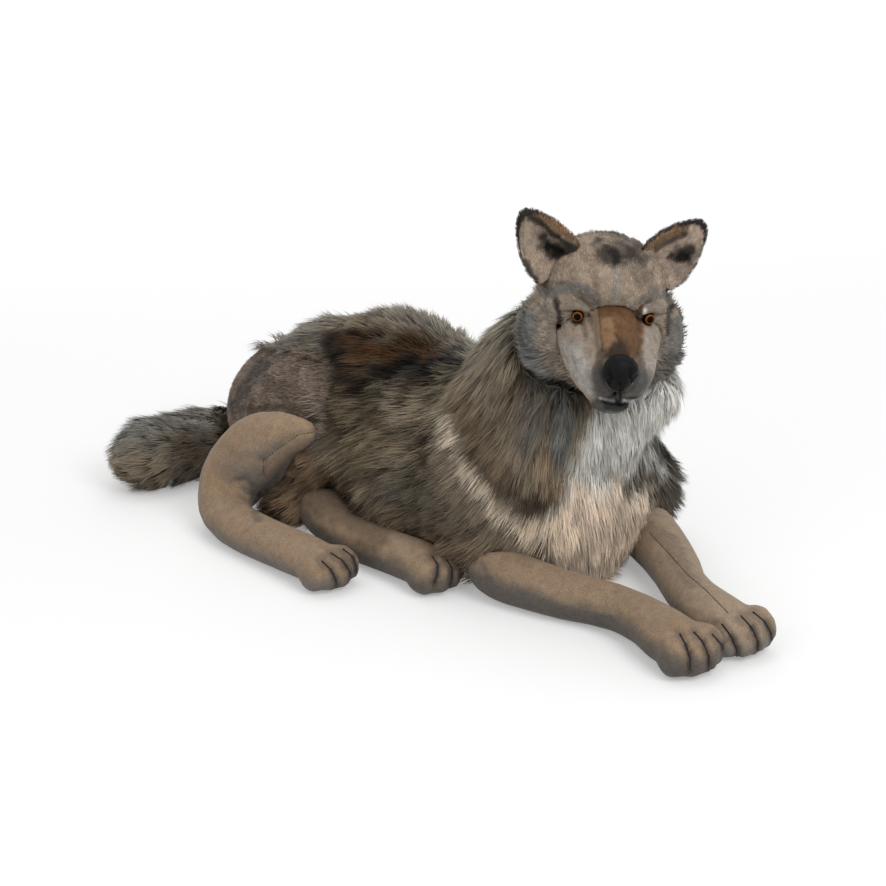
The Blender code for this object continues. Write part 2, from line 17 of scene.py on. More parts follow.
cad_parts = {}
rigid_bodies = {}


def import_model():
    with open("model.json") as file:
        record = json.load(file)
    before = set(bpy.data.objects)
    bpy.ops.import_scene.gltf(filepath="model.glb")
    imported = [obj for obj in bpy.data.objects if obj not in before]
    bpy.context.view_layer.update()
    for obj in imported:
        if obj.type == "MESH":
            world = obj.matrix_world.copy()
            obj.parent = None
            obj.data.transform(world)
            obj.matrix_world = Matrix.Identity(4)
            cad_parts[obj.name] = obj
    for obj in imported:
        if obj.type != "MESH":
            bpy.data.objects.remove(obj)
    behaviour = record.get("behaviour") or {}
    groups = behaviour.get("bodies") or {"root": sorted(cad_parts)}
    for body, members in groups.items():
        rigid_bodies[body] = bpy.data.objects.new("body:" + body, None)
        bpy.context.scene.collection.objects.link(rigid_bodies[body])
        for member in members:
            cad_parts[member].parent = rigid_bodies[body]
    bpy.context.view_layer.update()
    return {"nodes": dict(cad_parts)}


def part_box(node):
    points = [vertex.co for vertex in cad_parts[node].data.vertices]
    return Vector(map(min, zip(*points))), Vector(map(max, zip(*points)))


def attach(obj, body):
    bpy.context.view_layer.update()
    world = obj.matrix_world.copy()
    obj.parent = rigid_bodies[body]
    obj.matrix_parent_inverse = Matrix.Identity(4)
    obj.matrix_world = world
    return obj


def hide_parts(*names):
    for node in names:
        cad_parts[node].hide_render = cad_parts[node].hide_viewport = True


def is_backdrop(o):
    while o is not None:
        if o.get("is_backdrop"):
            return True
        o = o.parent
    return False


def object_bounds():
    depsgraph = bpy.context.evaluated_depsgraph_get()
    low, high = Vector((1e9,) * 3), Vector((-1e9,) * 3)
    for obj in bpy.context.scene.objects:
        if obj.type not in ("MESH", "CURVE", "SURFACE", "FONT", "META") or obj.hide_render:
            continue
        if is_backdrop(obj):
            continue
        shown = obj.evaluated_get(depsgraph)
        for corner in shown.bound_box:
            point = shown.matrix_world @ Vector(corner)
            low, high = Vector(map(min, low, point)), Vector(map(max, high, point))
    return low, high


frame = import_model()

nodes = frame["nodes"]

# %% [markdown]
# ## Camera
# The toy was photographed from its front right and a little above, with a long lens. The
# camera comes first because paint is later aimed through it: a mark seen at a pixel of the
# photograph is laid on whatever skin that pixel's ray meets.

# %% Camera
PHOTO_SIZE = 886
CAMERA_TURN = -45.0
CAMERA_RISE = 20.0
CAMERA_DISTANCE = 3.0
CAMERA_TARGET = Vector((0.0055, 0.0228, 0.13))
LENS = 100.0
SENSOR = 36.0

HALF_PHOTO = PHOTO_SIZE / 2
REACH = SENSOR / 2 / LENS


def add_object(name, data):
    """A new object in the scene, at the origin."""
    made = bpy.data.objects.new(name, data)
    bpy.context.scene.collection.objects.link(made)
    return made


turn, rise = math.radians(CAMERA_TURN), math.radians(CAMERA_RISE)
ahead = math.cos(rise)
towards_camera = Vector((math.sin(turn) * ahead, -math.cos(turn) * ahead, math.sin(rise)))
camera_data = bpy.data.cameras.new("camera")
camera_data.lens = LENS
camera_data.sensor_width = SENSOR
camera = add_object("camera", camera_data)
camera.location = CAMERA_TARGET + towards_camera * CAMERA_DISTANCE
camera.rotation_euler = towards_camera.to_track_quat("Z", "Y").to_euler()
bpy.context.scene.camera = camera
bpy.context.view_layer.update()
towards_camera = np.array(towards_camera)
print("camera at", [round(c, 3) for c in camera.location])


def ray_through(pixel_x, pixel_y):
    """The direction from the camera through a place in the photograph's frame."""
    aside = (pixel_x - HALF_PHOTO) / HALF_PHOTO * REACH
    up = (HALF_PHOTO - pixel_y) / HALF_PHOTO * REACH
    return (camera.matrix_world.to_3x3() @ Vector((aside, up, -1.0))).normalized()


def in_photo(points):
    """The pixels of the photograph's frame that places in the scene fall on."""
    matrix = np.array(camera.matrix_world.inverted())
    local = points @ matrix[:3, :3].T + matrix[:3, 3]
    flat = local[:, :2] / -local[:, 2:] / REACH * HALF_PHOTO
    return np.stack([HALF_PHOTO + flat[:, 0], HALF_PHOTO - flat[:, 1]], axis=1)


# %% [markdown]
# ## Writing node trees as Python
# A shader or a geometry tree is easier to read as sums than as a list of links. One small
# class wraps an output socket, so that a sum of two wires adds the Math node by itself.

# %% Wires
class Wire:
    """An output socket that can be added, multiplied and compared in an expression."""

    def __init__(self, desk, socket):
        self.desk = desk
        self.socket = socket

    def out(self, name):
        """Another output of the same node."""
        return Wire(self.desk, pick(self.socket.node.outputs, name))

    def join(self, operation, first, second):
        def is_vector(value):
            if isinstance(value, Wire):
                return value.socket.type in {"VECTOR", "RGBA"}
            return isinstance(value, (tuple, Vector))

        kind = "ShaderNodeMath"
        if is_vector(first) or is_vector(second):
            kind = "ShaderNodeVectorMath"
            first, second = [
                (v, v, v) if isinstance(v, (int, float)) else v for v in (first, second)
            ]
        return self.desk.add(kind, {"operation": operation}, {0: first, 1: second})

    def __add__(self, other):
        return self.join("ADD", self, other)

    def __sub__(self, other):
        return self.join("SUBTRACT", self, other)

    def __rsub__(self, other):
        return self.join("SUBTRACT", other, self)

    def __mul__(self, other):
        return self.join("MULTIPLY", self, other)

    def __rmul__(self, other):
        return self.join("MULTIPLY", other, self)

    def lowest(self, other):
        return self.join("MINIMUM", self, other)

    def highest(self, other):
        return self.join("MAXIMUM", self, other)


def pick(sockets, name):
    """The socket in use with this name or number."""
    live = [socket for socket in sockets if not socket.is_unavailable]
    if isinstance(name, int):
        return live[name]
    return next(socket for socket in live if socket.name == name)


class Desk:
    """Where the nodes of one tree are laid out."""

    def __init__(self, tree):
        self.tree = tree

    def add(self, kind, settings=None, sockets=None):
        """Adds a node: its settings first, then the values or wires of its sockets."""
        node = self.tree.nodes.new(kind)
        for name, value in (settings or {}).items():
            setattr(node, name, value)
        for name, value in (sockets or {}).items():
            socket = pick(node.inputs, name)
            if isinstance(value, Wire):
                self.tree.links.new(value.socket, socket)
            else:
                socket.default_value = value
        live = [socket for socket in node.outputs if not socket.is_unavailable]
        return Wire(self, live[0]) if live else node

    def span(self, value, low, high, to_low=0.0, to_high=1.0):
        """Maps low..high smoothly to to_low..to_high, held at both ends."""
        return self.add(
            "ShaderNodeMapRange",
            {"interpolation_type": "SMOOTHSTEP"},
            {"Value": value, 1: low, 2: high, 3: to_low, 4: to_high},
        )

    def place(self):
        return self.add("ShaderNodeTexCoord").out("Object")

    def noise(self, scale, detail):
        return self.add(
            "ShaderNodeTexNoise", {}, {"Scale": scale, "Detail": detail, "Vector": self.place()}
        )

    def painted(self, name):
        """What the skin's attribute of this name says, as a colour."""
        return self.add("ShaderNodeAttribute", {"attribute_name": name})

    def mix(self, factor, first, second):
        return self.add(
            "ShaderNodeMix", {"data_type": "RGBA"}, {"Factor": factor, "A": first, "B": second}
        )

    def seen(self):
        """1 for the rays that the camera sees by, also over a mirror or through glass."""
        path = self.add("ShaderNodeLightPath")
        straight, mirrored, through = (
            path.out(f"Is {kind} Ray") for kind in ("Camera", "Glossy", "Transmission")
        )
        return straight.highest(mirrored).highest(through)


def finish(name, roughness, sheen=0.0, specular=0.25):
    """A new material: its desk, and the Principled node that every finish ends in."""
    made = bpy.data.materials.new(name)
    made.use_nodes = True
    surface = made.node_tree.nodes["Principled BSDF"]
    surface.inputs["Roughness"].default_value = roughness
    surface.inputs["Sheen Weight"].default_value = sheen
    surface.inputs["Sheen Roughness"].default_value = 0.45
    surface.inputs["Specular IOR Level"].default_value = specular
    return made, Desk(made.node_tree), surface


def feed(surface, socket, wire):
    wire.desk.tree.links.new(wire.socket, surface.inputs[socket])


# %% [markdown]
# ## Floor and light
# The floor and the world are brighter to the camera than to the wolf. So the picture has the
# photograph's white ground, and the toy still gets soft shade below. Four large lamps stand
# in for a photographer's soft boxes. They are plain, so that colours render about as they are
# written.

# %% Floor, lamps and world
floor_mesh = bpy.data.meshes.new("floor")
floor_mesh.from_pydata([(-30, -30, 0), (30, -30, 0), (30, 30, 0), (-30, 30, 0)], [], [(0, 1, 2, 3)])
floor = add_object("floor", floor_mesh)
floor.location.z = -0.0005
pale, desk, surface = finish("pale_floor", 0.9, specular=0.0)
surface.inputs["Base Color"].default_value = (0.74, 0.74, 0.74, 1.0)
surface.inputs["Emission Strength"].default_value = 1.0
away = desk.add("ShaderNodeVectorMath", {"operation": "LENGTH"}, {0: desk.place()})
glow = desk.seen() * desk.span(away, 0.6, 5.0, 0.30, 0.80)
grey = desk.add("ShaderNodeCombineColor", {}, {"Red": glow, "Green": glow, "Blue": glow})
feed(surface, "Emission Color", grey)
floor_mesh.materials.append(pale)
floor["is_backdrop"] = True

world = bpy.data.worlds.new("studio")
bpy.context.scene.world = world
world.use_nodes = True
background = world.node_tree.nodes["Background"]
feed(background, "Strength", Desk(world.node_tree).seen() * 0.45 + 0.55)
background.inputs["Color"].default_value = (1.0, 1.0, 1.0, 1.0)


def lamp(name, power, size, location):
    data = bpy.data.lights.new(name, "AREA")
    data.energy = power
    data.size = size
    made = add_object(name, data)
    made.location = location
    made.rotation_euler = (Vector(location) - CAMERA_TARGET).to_track_quat("Z", "Y").to_euler()


lamp("key", 34.0, 1.5, (-0.5, -2.3, 2.2))
lamp("fill", 9.0, 2.0, (-2.6, -0.4, 1.5))
lamp("top", 12.0, 2.0, (0.4, 0.4, 2.8))
lamp("back", 8.0, 1.6, (1.4, 2.0, 1.6))
bpy.context.scene.view_settings.view_transform = "Standard"

# %% [markdown]
# ## Skins
# A sewn section is a bag of cloth. Its solid in the frame has the outline of the fur, so the
# cloth below it is drawn from the same solids, a little smaller. A cloth simulation could
# inflate the bags, but most of the cloth is hidden by its pile. So a voxel remesh closes the
# seams between neighbouring sections, and smoothing takes away the facets.

# %% Draw a skin over some of the frame's solids
WELD_DISTANCE = 0.00001
SEAM_SWELL = 0.0006
CLEAR_OF_FLOOR = 0.0006
LONG_PILE_DEPTH = 0.013


def merged_copy(name, solids):
    """The solids' meshes in one, with their loose triangles joined up."""
    shape = bmesh.new()
    for solid in solids:
        shape.from_mesh(nodes[solid].data)
    bmesh.ops.remove_doubles(shape, verts=shape.verts, dist=WELD_DISTANCE)
    mesh = bpy.data.meshes.new(name)
    shape.to_mesh(mesh)
    shape.free()
    return add_object(name, mesh)


def settle(piece):
    """Turns what a piece's modifiers make into its plain mesh."""
    graph = bpy.context.evaluated_depsgraph_get()
    mesh = bpy.data.meshes.new_from_object(piece.evaluated_get(graph))
    piece.modifiers.clear()
    piece.data = mesh
    return piece


def points_of(mesh, field="co"):
    flat = np.empty(len(mesh.vertices) * 3)
    mesh.vertices.foreach_get(field, flat)
    return flat.reshape(-1, 3)


def tree_of(mesh):
    """A search tree of a mesh's faces, for rays and for nearest places."""
    faces = [face.vertices for face in mesh.polygons]
    return BVHTree.FromPolygons([point.co for point in mesh.vertices], faces)


def move_points(mesh, points):
    mesh.vertices.foreach_set("co", np.ascontiguousarray(points).reshape(-1))
    mesh.update()


def draw_skin(name, solids, voxel, softening, take_in=0.0):
    """One closed skin over the solids, taken in by the depth of its pile."""
    skin = merged_copy(name, solids)
    swell = skin.modifiers.new("swell", "DISPLACE")
    swell.mid_level = 0.0
    swell.strength = SEAM_SWELL
    remesh = skin.modifiers.new("skin", "REMESH")
    remesh.mode = "VOXEL"
    remesh.voxel_size = voxel
    soften = skin.modifiers.new("soften", "SMOOTH")
    soften.factor = 0.5
    soften.iterations = softening
    settle(skin)
    points = points_of(skin.data) - points_of(skin.data, "normal") * take_in
    points[:, 2] = np.maximum(points[:, 2], CLEAR_OF_FLOOR)
    move_points(skin.data, points)
    skin.data.shade_smooth()
    print(name, len(skin.data.vertices), "points")
    return skin


body_solids = ("torso", "rump", "neck_mane", "chest_bib")
mask_solids = (
    "muzzle_bridge", "right_lip_pad", "left_lip_pad", "chin",
    "right_upper_eyelid", "left_upper_eyelid",
)
body_skin = draw_skin("body_skin", body_solids, voxel=0.0075, softening=5, take_in=LONG_PILE_DEPTH)
tail_skin = draw_skin("tail_skin", ("tail",), voxel=0.006, softening=4, take_in=LONG_PILE_DEPTH)
head_skin = draw_skin("head_skin", ("head",), voxel=0.0038, softening=5, take_in=0.0015)
mask_skin = draw_skin("mask_skin", mask_solids, voxel=0.0020, softening=3)
paw_soles = {
    "right_foreleg": "right_forepaw_sole",
    "left_foreleg": "left_forepaw_sole",
    "right_hind_leg": "right_hind_paw_sole",
    "left_hind_leg": "left_hind_paw_sole",
}
leg_skins = {
    leg: draw_skin(leg + "_skin", (leg, sole), voxel=0.0040, softening=4)
    for leg, sole in paw_soles.items()
}
ear_skins = {
    side: draw_skin(
        side + "_ear_skin", (side + "_ear", side + "_ear_lining"),
        voxel=0.0019, softening=4, take_in=0.0008,
    )
    for side in ("right", "left")
}

# %% [markdown]
# ## Finding one's way on the head
# The head is turned and tilted, and paint on it is easiest to place along its own axes. The
# two eyes and the nose of the frame fix those axes, so nothing here repeats the turn.

# %% The head's own axes
EYE_IN_HEAD = Vector((0.040, -0.0575, 0.012))
NOSE_IN_HEAD = Vector((0.0, -0.131, -0.028))


def centre_of(node):
    low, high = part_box(node)
    return (Vector(low) + Vector(high)) / 2


between_eyes = (centre_of("left_eye") + centre_of("right_eye")) / 2
head_x = (centre_of("left_eye") - centre_of("right_eye")).normalized()
to_nose = centre_of("nose") - between_eyes
to_nose = (to_nose - head_x * to_nose.dot(head_x)).normalized()
drop = Vector((0.0, EYE_IN_HEAD.y, EYE_IN_HEAD.z)) - NOSE_IN_HEAD
slope = math.atan2(drop.z, drop.y)
across = head_x.cross(to_nose)
head_y = to_nose * -math.cos(slope) + across * math.sin(slope)
head_z = to_nose * -math.sin(slope) - across * math.cos(slope)
head_axes = Matrix((head_x, head_y, head_z)).transposed()
head_centre = between_eyes - head_axes @ Vector((0.0, EYE_IN_HEAD.y, EYE_IN_HEAD.z))
print("head centre", [round(c, 3) for c in head_centre])


def in_head(points):
    """World points in the head's own axes: x to its left, -y ahead, z up."""
    return (points - np.array(head_centre)) @ np.array(head_axes)


# %% [markdown]
# ## Paint
# The real pile is airbrushed: patches of colour with soft, broken edges. A skin's points carry
# two colours, one for the root of a hair and one for its tip, and the way the hair lies. Each
# point knows the pixel it falls on in the photograph, so a mark is a path or an outline of
# pixels. Points that face away, or that the body hides, take the pixel of their mirror image,
# as a real toy's two sides match. Value noise breaks every edge and makes the mottling.

# %% Brushes
FACING_AWAY = -0.12
FACING_BACK = -0.5
OFF_PHOTO = -900.0
FAR_SHARE = 0.6
PALEST = 0.86
FUR_HEIGHT = 0.020
NEAR_ENOUGH = 0.01


def mottle(points, size, seed=0):
    """Smooth random values from 0 to 1 in blotches of about this size."""
    spots = points / size
    base = np.floor(spots).astype(np.int64)
    part = spots - base
    part = part * part * (3 - 2 * part)
    total = np.zeros(len(points))
    for corner in range(8):
        step = np.array([(corner >> axis) & 1 for axis in range(3)])
        cell = base + step
        mixed = cell[:, 0] * 73856093 ^ cell[:, 1] * 19349663 ^ cell[:, 2] * 83492791
        mixed ^= seed * 2654435761
        mixed = (mixed ^ (mixed >> 13)) * 1274126177 & 0x7FFFFFFF
        value = ((mixed ^ (mixed >> 16)) & 0xFFFF) / 65535.0
        weight = np.prod(np.where(step, part, 1 - part), axis=1)
        total += value * weight
    return total


def ease(value, low=0.0, high=1.0):
    value = np.clip((value - low) / (high - low), 0.0, 1.0)
    return value * value * (3 - 2 * value)


def distance_to(path, spots, closed=False):
    """How far each spot is from a path of straight lines."""
    path = [np.array(place, dtype=float) for place in path]
    ends = path[1:] + path[:1] if closed else (path[1:] if len(path) > 1 else path)
    best = np.full(len(spots), 1e9)
    for start, end in zip(path, ends):
        line = end - start
        along = (spots - start) @ line / max(line @ line, 1e-12)
        foot = start + np.clip(along, 0, 1)[:, None] * line
        best = np.minimum(best, np.linalg.norm(spots - foot, axis=1))
    return best


class Coat:
    """The paint and the lie of the pile on one skin."""

    def __init__(self, skin, seen, gains=(0.75, 2.2), mirror=None):
        """Starts with one colour as seen; the gains make it a root and a tip colour."""
        self.skin = skin
        self.gains = gains
        self.points = points_of(skin.data)
        self.normals = points_of(skin.data, "normal")
        count = len(self.points)
        self.colour = np.tile(np.array(seen, dtype=float), (count, 1))
        self.length = np.ones(count)
        self.flow = np.zeros((count, 3))
        self.mirror = mirror
        self.covered = self.find_covered() if mirror else None
        self.look()
        self.share = FAR_SHARE + (1 - FAR_SHARE) * ease(self.normals @ towards_camera, -0.35, 0.0)
        noise = [mottle(self.points, size, seed) - 0.5 for seed, size in ((11, 0.011), (12, 0.011))]
        fine = [mottle(self.points, size, seed) - 0.5 for seed, size in ((13, 0.005), (14, 0.005))]
        self.wobble = np.stack(noise, axis=1) + 0.5 * np.stack(fine, axis=1)

    def find_covered(self):
        """Points that the photograph can't show because the same skin stands before them."""
        tree, start, covered = tree_of(self.skin.data), camera.location, []
        for spot in self.points + self.normals * FUR_HEIGHT:
            way = Vector(spot) - start
            hit = tree.ray_cast(start, way.normalized(), way.length - NEAR_ENOUGH)[0]
            covered.append(hit is not None)
        return np.array(covered)

    def look(self, reach=0.0, rise=0.0):
        """Finds the pixel of each point, or of a place this far along and above its hair."""
        spots = self.points + self.flow * reach + self.normals * rise
        self.pixels = in_photo(spots)
        if self.mirror is not None:
            facing = self.normals @ towards_camera
            twins, twin_normals = self.mirror(spots), self.mirror(self.normals, True)
            twin_facing = twin_normals @ towards_camera
            farther = (twins - spots) @ towards_camera > 0
            far = ((facing < FACING_AWAY) & (twin_facing > facing) | self.covered) & farther
            self.pixels[far] = in_photo(twins)[far]
            self.pixels[np.maximum(facing, twin_facing) < FACING_BACK] = OFF_PHOTO

    def near(self, path, radius, ragged=0.7, soft=0.8):
        """Weights from 1 on a path of pixels to 0 past its radius, with a ragged edge."""
        spots = self.pixels + self.wobble * radius * 2 * ragged
        return ease(0.55 + soft - distance_to(path, spots) / radius, 0.0, soft)

    def inside(self, outline, soft=3.0, ragged=6.0):
        """Weights of 1 inside an outline of pixels."""
        spots = self.pixels + self.wobble * ragged * 2
        within = np.zeros(len(spots), dtype=bool)
        for (ax, ay), (bx, by) in zip(outline, outline[1:] + outline[:1]):
            if ay == by:
                continue
            crosses = (spots[:, 1] > ay) != (spots[:, 1] > by)
            within ^= crosses & (spots[:, 0] < (bx - ax) * (spots[:, 1] - ay) / (by - ay) + ax)
        depth = distance_to(outline, spots, True) * np.where(within, 1, -1)
        return ease(depth, -soft, soft)

    def lay(self, weight, seen):
        self.colour += (np.array(seen) - self.colour) * weight[:, None]

    def mark(self, marks, amount=0.95, ragged=0.7, soft=0.8, within=1.0):
        """Lays marks: each a path of pixels, a radius, a colour and how fully it covers."""
        for path, radius, seen, *own in marks:
            weight = self.near(path, radius, ragged, soft)
            self.lay(weight * within * (own[0] if own else amount), seen)

    def carve(self, path, radius, depth):
        """Presses a crease into the skin along a path of pixels; a negative depth raises it."""
        weight = ease(1.0 - distance_to(path, in_photo(self.points)) / radius)
        weight = weight * (self.normals @ towards_camera > -0.1)
        self.points -= self.normals * (weight * depth)[:, None]
        move_points(self.skin.data, self.points)

    def press(self, creases):
        for path, radius, depth in creases:
            self.carve(path, radius, depth)

    def lie(self, way, weight=None):
        """Combs the pile: a direction, or one for each point, laid flat on the skin."""
        way = np.broadcast_to(np.array(way, dtype=float), self.points.shape)
        flat = way - self.normals * np.sum(way * self.normals, axis=1)[:, None]
        flat /= np.maximum(np.linalg.norm(flat, axis=1), 1e-6)[:, None]
        if weight is None:
            weight = np.ones(len(flat))
        self.flow += (flat - self.flow) * weight[:, None]

    def save(self, **patches):
        """Writes the layers on the skin as attributes, with one weight for each pile patch."""
        mesh = self.skin.data
        flow = self.flow / np.maximum(np.linalg.norm(self.flow, axis=1), 1e-6)[:, None]
        pale = ease(self.colour.mean(axis=1), 0.12, 0.34)[:, None]
        for name, gain in (("root_colour", self.gains[0]), ("tip_colour", self.gains[1])):
            even = (self.gains[0] + self.gains[1]) / 2
            colours = self.colour * (gain + (even - gain) * pale * 0.85)
            brightest = np.maximum(colours.max(axis=1), 0.002)
            colours *= np.minimum(1.0, PALEST / brightest)[:, None]
            layer = mesh.attributes.new(name, "FLOAT_COLOR", "POINT")
            opaque = np.hstack([colours, np.ones((len(colours), 1))])
            layer.data.foreach_set("color", opaque.reshape(-1))
        layer = mesh.attributes.new("flow", "FLOAT_VECTOR", "POINT")
        layer.data.foreach_set("vector", flow.reshape(-1))
        patches = {name: values * self.share for name, values in patches.items()}
        for name, values in dict(patches, pile_length=self.length).items():
            layer = mesh.attributes.new(name, "FLOAT", "POINT")
            layer.data.foreach_set("value", np.ascontiguousarray(values, dtype=float))


# %% [markdown]
# ## Pile
# Plush pile is hundreds of thousands of fine fibres that gather into locks. Modelling them by
# hand is hopeless and particle hair would not become part of the mesh, so Geometry Nodes grow
# narrow pointed blades: each leaves the skin upright, bends over the way the pile was combed,
# and leans to the tip of the lock whose middle is nearest. A blade takes its normals from the
# skin below it, so light falls on the coat as on one soft surface.

# %% The pile tree
PILE_INPUTS = (
    ("Patch", "NodeSocketString", ""),
    ("Density", "NodeSocketFloat", 100000.0),
    ("Length", "NodeSocketFloat", 0.03),
    ("Width", "NodeSocketFloat", 0.001),
    ("Rise", "NodeSocketFloat", 0.35),
    ("Lift", "NodeSocketFloat", 0.3),
    ("Wander", "NodeSocketFloat", 0.25),
    ("Lock Density", "NodeSocketFloat", 4000.0),
    ("Lock Pull", "NodeSocketFloat", 0.7),
    ("Joints", "NodeSocketInt", 3),
    ("Seed", "NodeSocketInt", 1),
    ("Finish", "NodeSocketMaterial", None),
)


def named(desk, name, kind="FLOAT_VECTOR"):
    return desk.add("GeometryNodeInputNamedAttribute", {"data_type": kind}, {"Name": name})


def keep(desk, geometry, name, value, kind="FLOAT_VECTOR"):
    return desk.add(
        "GeometryNodeStoreNamedAttribute",
        {"data_type": kind, "domain": "POINT"},
        {"Geometry": geometry, "Name": name, "Value": value},
    )


def random_vector(desk, seed):
    return desk.add(
        "FunctionNodeRandomValue", {"data_type": "FLOAT_VECTOR"},
        {"Min": (-1.0, -1.0, -1.0), "Max": (1.0, 1.0, 1.0), "Seed": seed},
    )


def random_float(desk, low, high, seed):
    return desk.add(
        "FunctionNodeRandomValue", {"data_type": "FLOAT"}, {"Min": low, "Max": high, "Seed": seed}
    )


def unit(desk, wire):
    return desk.add("ShaderNodeVectorMath", {"operation": "NORMALIZE"}, {0: wire})


def split_xyz(desk, wire):
    return desk.add("ShaderNodeSeparateXYZ", {}, {0: wire})


def build_pile_tree():
    tree = bpy.data.node_groups.new("pile", "GeometryNodeTree")
    tree.interface.new_socket("Skin", in_out="INPUT", socket_type="NodeSocketGeometry")
    for name, kind, value in PILE_INPUTS:
        socket = tree.interface.new_socket(name, in_out="INPUT", socket_type=kind)
        if value is not None:
            socket.default_value = value
    tree.interface.new_socket("Pile", in_out="OUTPUT", socket_type="NodeSocketGeometry")
    desk = Desk(tree)
    take = desk.add("NodeGroupInput").out

    # Roots of the hairs and middles of the locks, both only where the patch is painted
    patch = named(desk, take("Patch"), "FLOAT")

    def scatter(density, seed):
        return desk.add(
            "GeometryNodeDistributePointsOnFaces", {"distribute_method": "RANDOM"},
            {"Mesh": take("Skin"), "Density": density * patch, "Seed": seed},
        )

    hairs = scatter(take("Density"), take("Seed"))
    locks = scatter(take("Lock Density"), take("Seed") + 7)
    place = desk.add("GeometryNodeInputPosition")
    flow = named(desk, "flow")
    length = named(desk, "pile_length", "FLOAT") * take("Length")

    def reach(normal, seed, wander):
        lean = flow + normal * take("Rise") + random_vector(desk, take("Seed") + seed) * wander
        return unit(desk, lean) * length * random_float(desk, 0.72, 1.1, take("Seed") + seed + 1)

    lock_reach = reach(locks.out("Normal"), 20, take("Wander") * 1.3)
    lock_tone = random_float(desk, 0.70, 1.25, take("Seed") + 31)
    lock_points = keep(desk, locks.out("Points"), "reach", lock_reach)
    lock_points = keep(desk, lock_points, "tone", lock_tone, "FLOAT")
    nearest = desk.add(
        "GeometryNodeSampleNearest", {"domain": "POINT"},
        {"Geometry": lock_points, "Sample Position": place},
    )

    def from_lock(value, kind):
        return desk.add(
            "GeometryNodeSampleIndex", {"data_type": kind, "domain": "POINT"},
            {"Geometry": lock_points, "Value": value, "Index": nearest},
        )

    normal = hairs.out("Normal")
    own_tip = place + reach(normal, 40, take("Wander"))
    lock_tip = from_lock(place, "FLOAT_VECTOR") + from_lock(named(desk, "reach"), "FLOAT_VECTOR")
    pull = take("Lock Pull") * random_float(desk, 0.45, 1.0, take("Seed") + 51)
    tip = own_tip + (lock_tip - own_tip) * pull
    knee = place + normal * length * take("Lift") + (tip - place) * 0.30
    cross = {"operation": "CROSS_PRODUCT"}
    side = unit(desk, desk.add("ShaderNodeVectorMath", cross, {0: tip - place, 1: normal}))
    twist = random_float(desk, -0.7, 0.7, take("Seed") + 61)
    side = desk.add(
        "ShaderNodeVectorRotate", {"rotation_type": "AXIS_ANGLE"},
        {"Vector": side, "Axis": tip - place, "Angle": twist},
    )
    own_tone = random_float(desk, 0.80, 1.18, take("Seed") + 71)
    tone = from_lock(named(desk, "tone", "FLOAT"), "FLOAT") * own_tone
    soft_normal = unit(desk, normal + random_vector(desk, take("Seed") + 81) * 0.35)
    points = hairs.out("Points")
    for name, value, kind in (
        ("hair_tip", tip, "FLOAT_VECTOR"),
        ("hair_knee", knee, "FLOAT_VECTOR"),
        ("hair_side", side, "FLOAT_VECTOR"),
        ("hair_root", place, "FLOAT_VECTOR"),
        ("skin_normal", soft_normal, "FLOAT_VECTOR"),
        ("tone", tone, "FLOAT"),
    ):
        points = keep(desk, points, name, value, kind)

    # One blade: a strip that narrows to a point, its height from 0 to 1
    strip = desk.add(
        "GeometryNodeMeshGrid", {},
        {"Size X": 1.0, "Size Y": 1.0, "Vertices X": 2, "Vertices Y": take("Joints") + 1},
    )
    split = split_xyz(desk, place)
    height = split.out("Y") + 0.5
    blade = keep(desk, strip, "along", height, "FLOAT")
    blade = keep(desk, blade, "aside", split.out("X") * (1.0 - height * height * height), "FLOAT")
    at_tip = desk.add(
        "FunctionNodeCompare", {"data_type": "FLOAT", "operation": "GREATER_THAN"},
        {0: height, 1: 0.999},
    )
    blade = desk.add(
        "GeometryNodeSetPosition", {},
        {"Geometry": blade, "Selection": at_tip, "Position": (0.0, 0.5, 0.0)},
    )
    blade = desk.add("GeometryNodeMergeByDistance", {}, {"Geometry": blade, "Distance": 0.0001})
    pile = desk.add("GeometryNodeInstanceOnPoints", {}, {"Points": points, "Instance": blade})
    pile = desk.add("GeometryNodeRealizeInstances", {}, {"Geometry": pile})

    # Every blade is bent along its own curve
    t = named(desk, "along", "FLOAT")
    back = 1.0 - t
    curve = named(desk, "hair_root") * (back * back) + named(desk, "hair_knee") * (2.0 * t * back)
    curve = curve + named(desk, "hair_tip") * (t * t)
    curve = curve + named(desk, "hair_side") * (named(desk, "aside", "FLOAT") * take("Width"))
    split = split_xyz(desk, curve)
    height = split.out("Z").highest(t * 0.003 + CLEAR_OF_FLOOR)
    above = desk.add(
        "ShaderNodeCombineXYZ", {}, {"X": split.out("X"), "Y": split.out("Y"), "Z": height}
    )
    pile = desk.add("GeometryNodeSetPosition", {}, {"Geometry": pile, "Position": above})
    for name in ("hair_tip", "hair_knee", "hair_side", "hair_root", "aside", "flow", "pile_length"):
        pile = desk.add("GeometryNodeRemoveAttribute", {}, {"Geometry": pile, "Name": name})
    pile = desk.add("GeometryNodeSetShadeSmooth", {}, {0: pile})
    pile = desk.add("GeometryNodeSetMaterial", {}, {"Geometry": pile, "Material": take("Finish")})
    desk.add("NodeGroupOutput", {}, {"Pile": pile})
    return tree


pile_tree = build_pile_tree()
print("pile tree of", len(pile_tree.nodes), "nodes")


def run_tree(name, mesh, tree, **values):
    """Runs a tree over a mesh and keeps what it makes as a plain mesh."""
    made = add_object(name, mesh)
    modifier = made.modifiers.new("tree", "NODES")
    modifier.node_group = tree
    for item in tree.interface.items_tree:
        key = item.name.replace(" ", "_")
        if item.in_out == "INPUT" and key in values:
            modifier[item.identifier] = values.pop(key)
    assert not values, values
    settle(made)
    print(name, triangles_in(made), "triangles")
    return made


def triangles_in(piece):
    return sum(len(face.vertices) - 2 for face in piece.data.polygons)


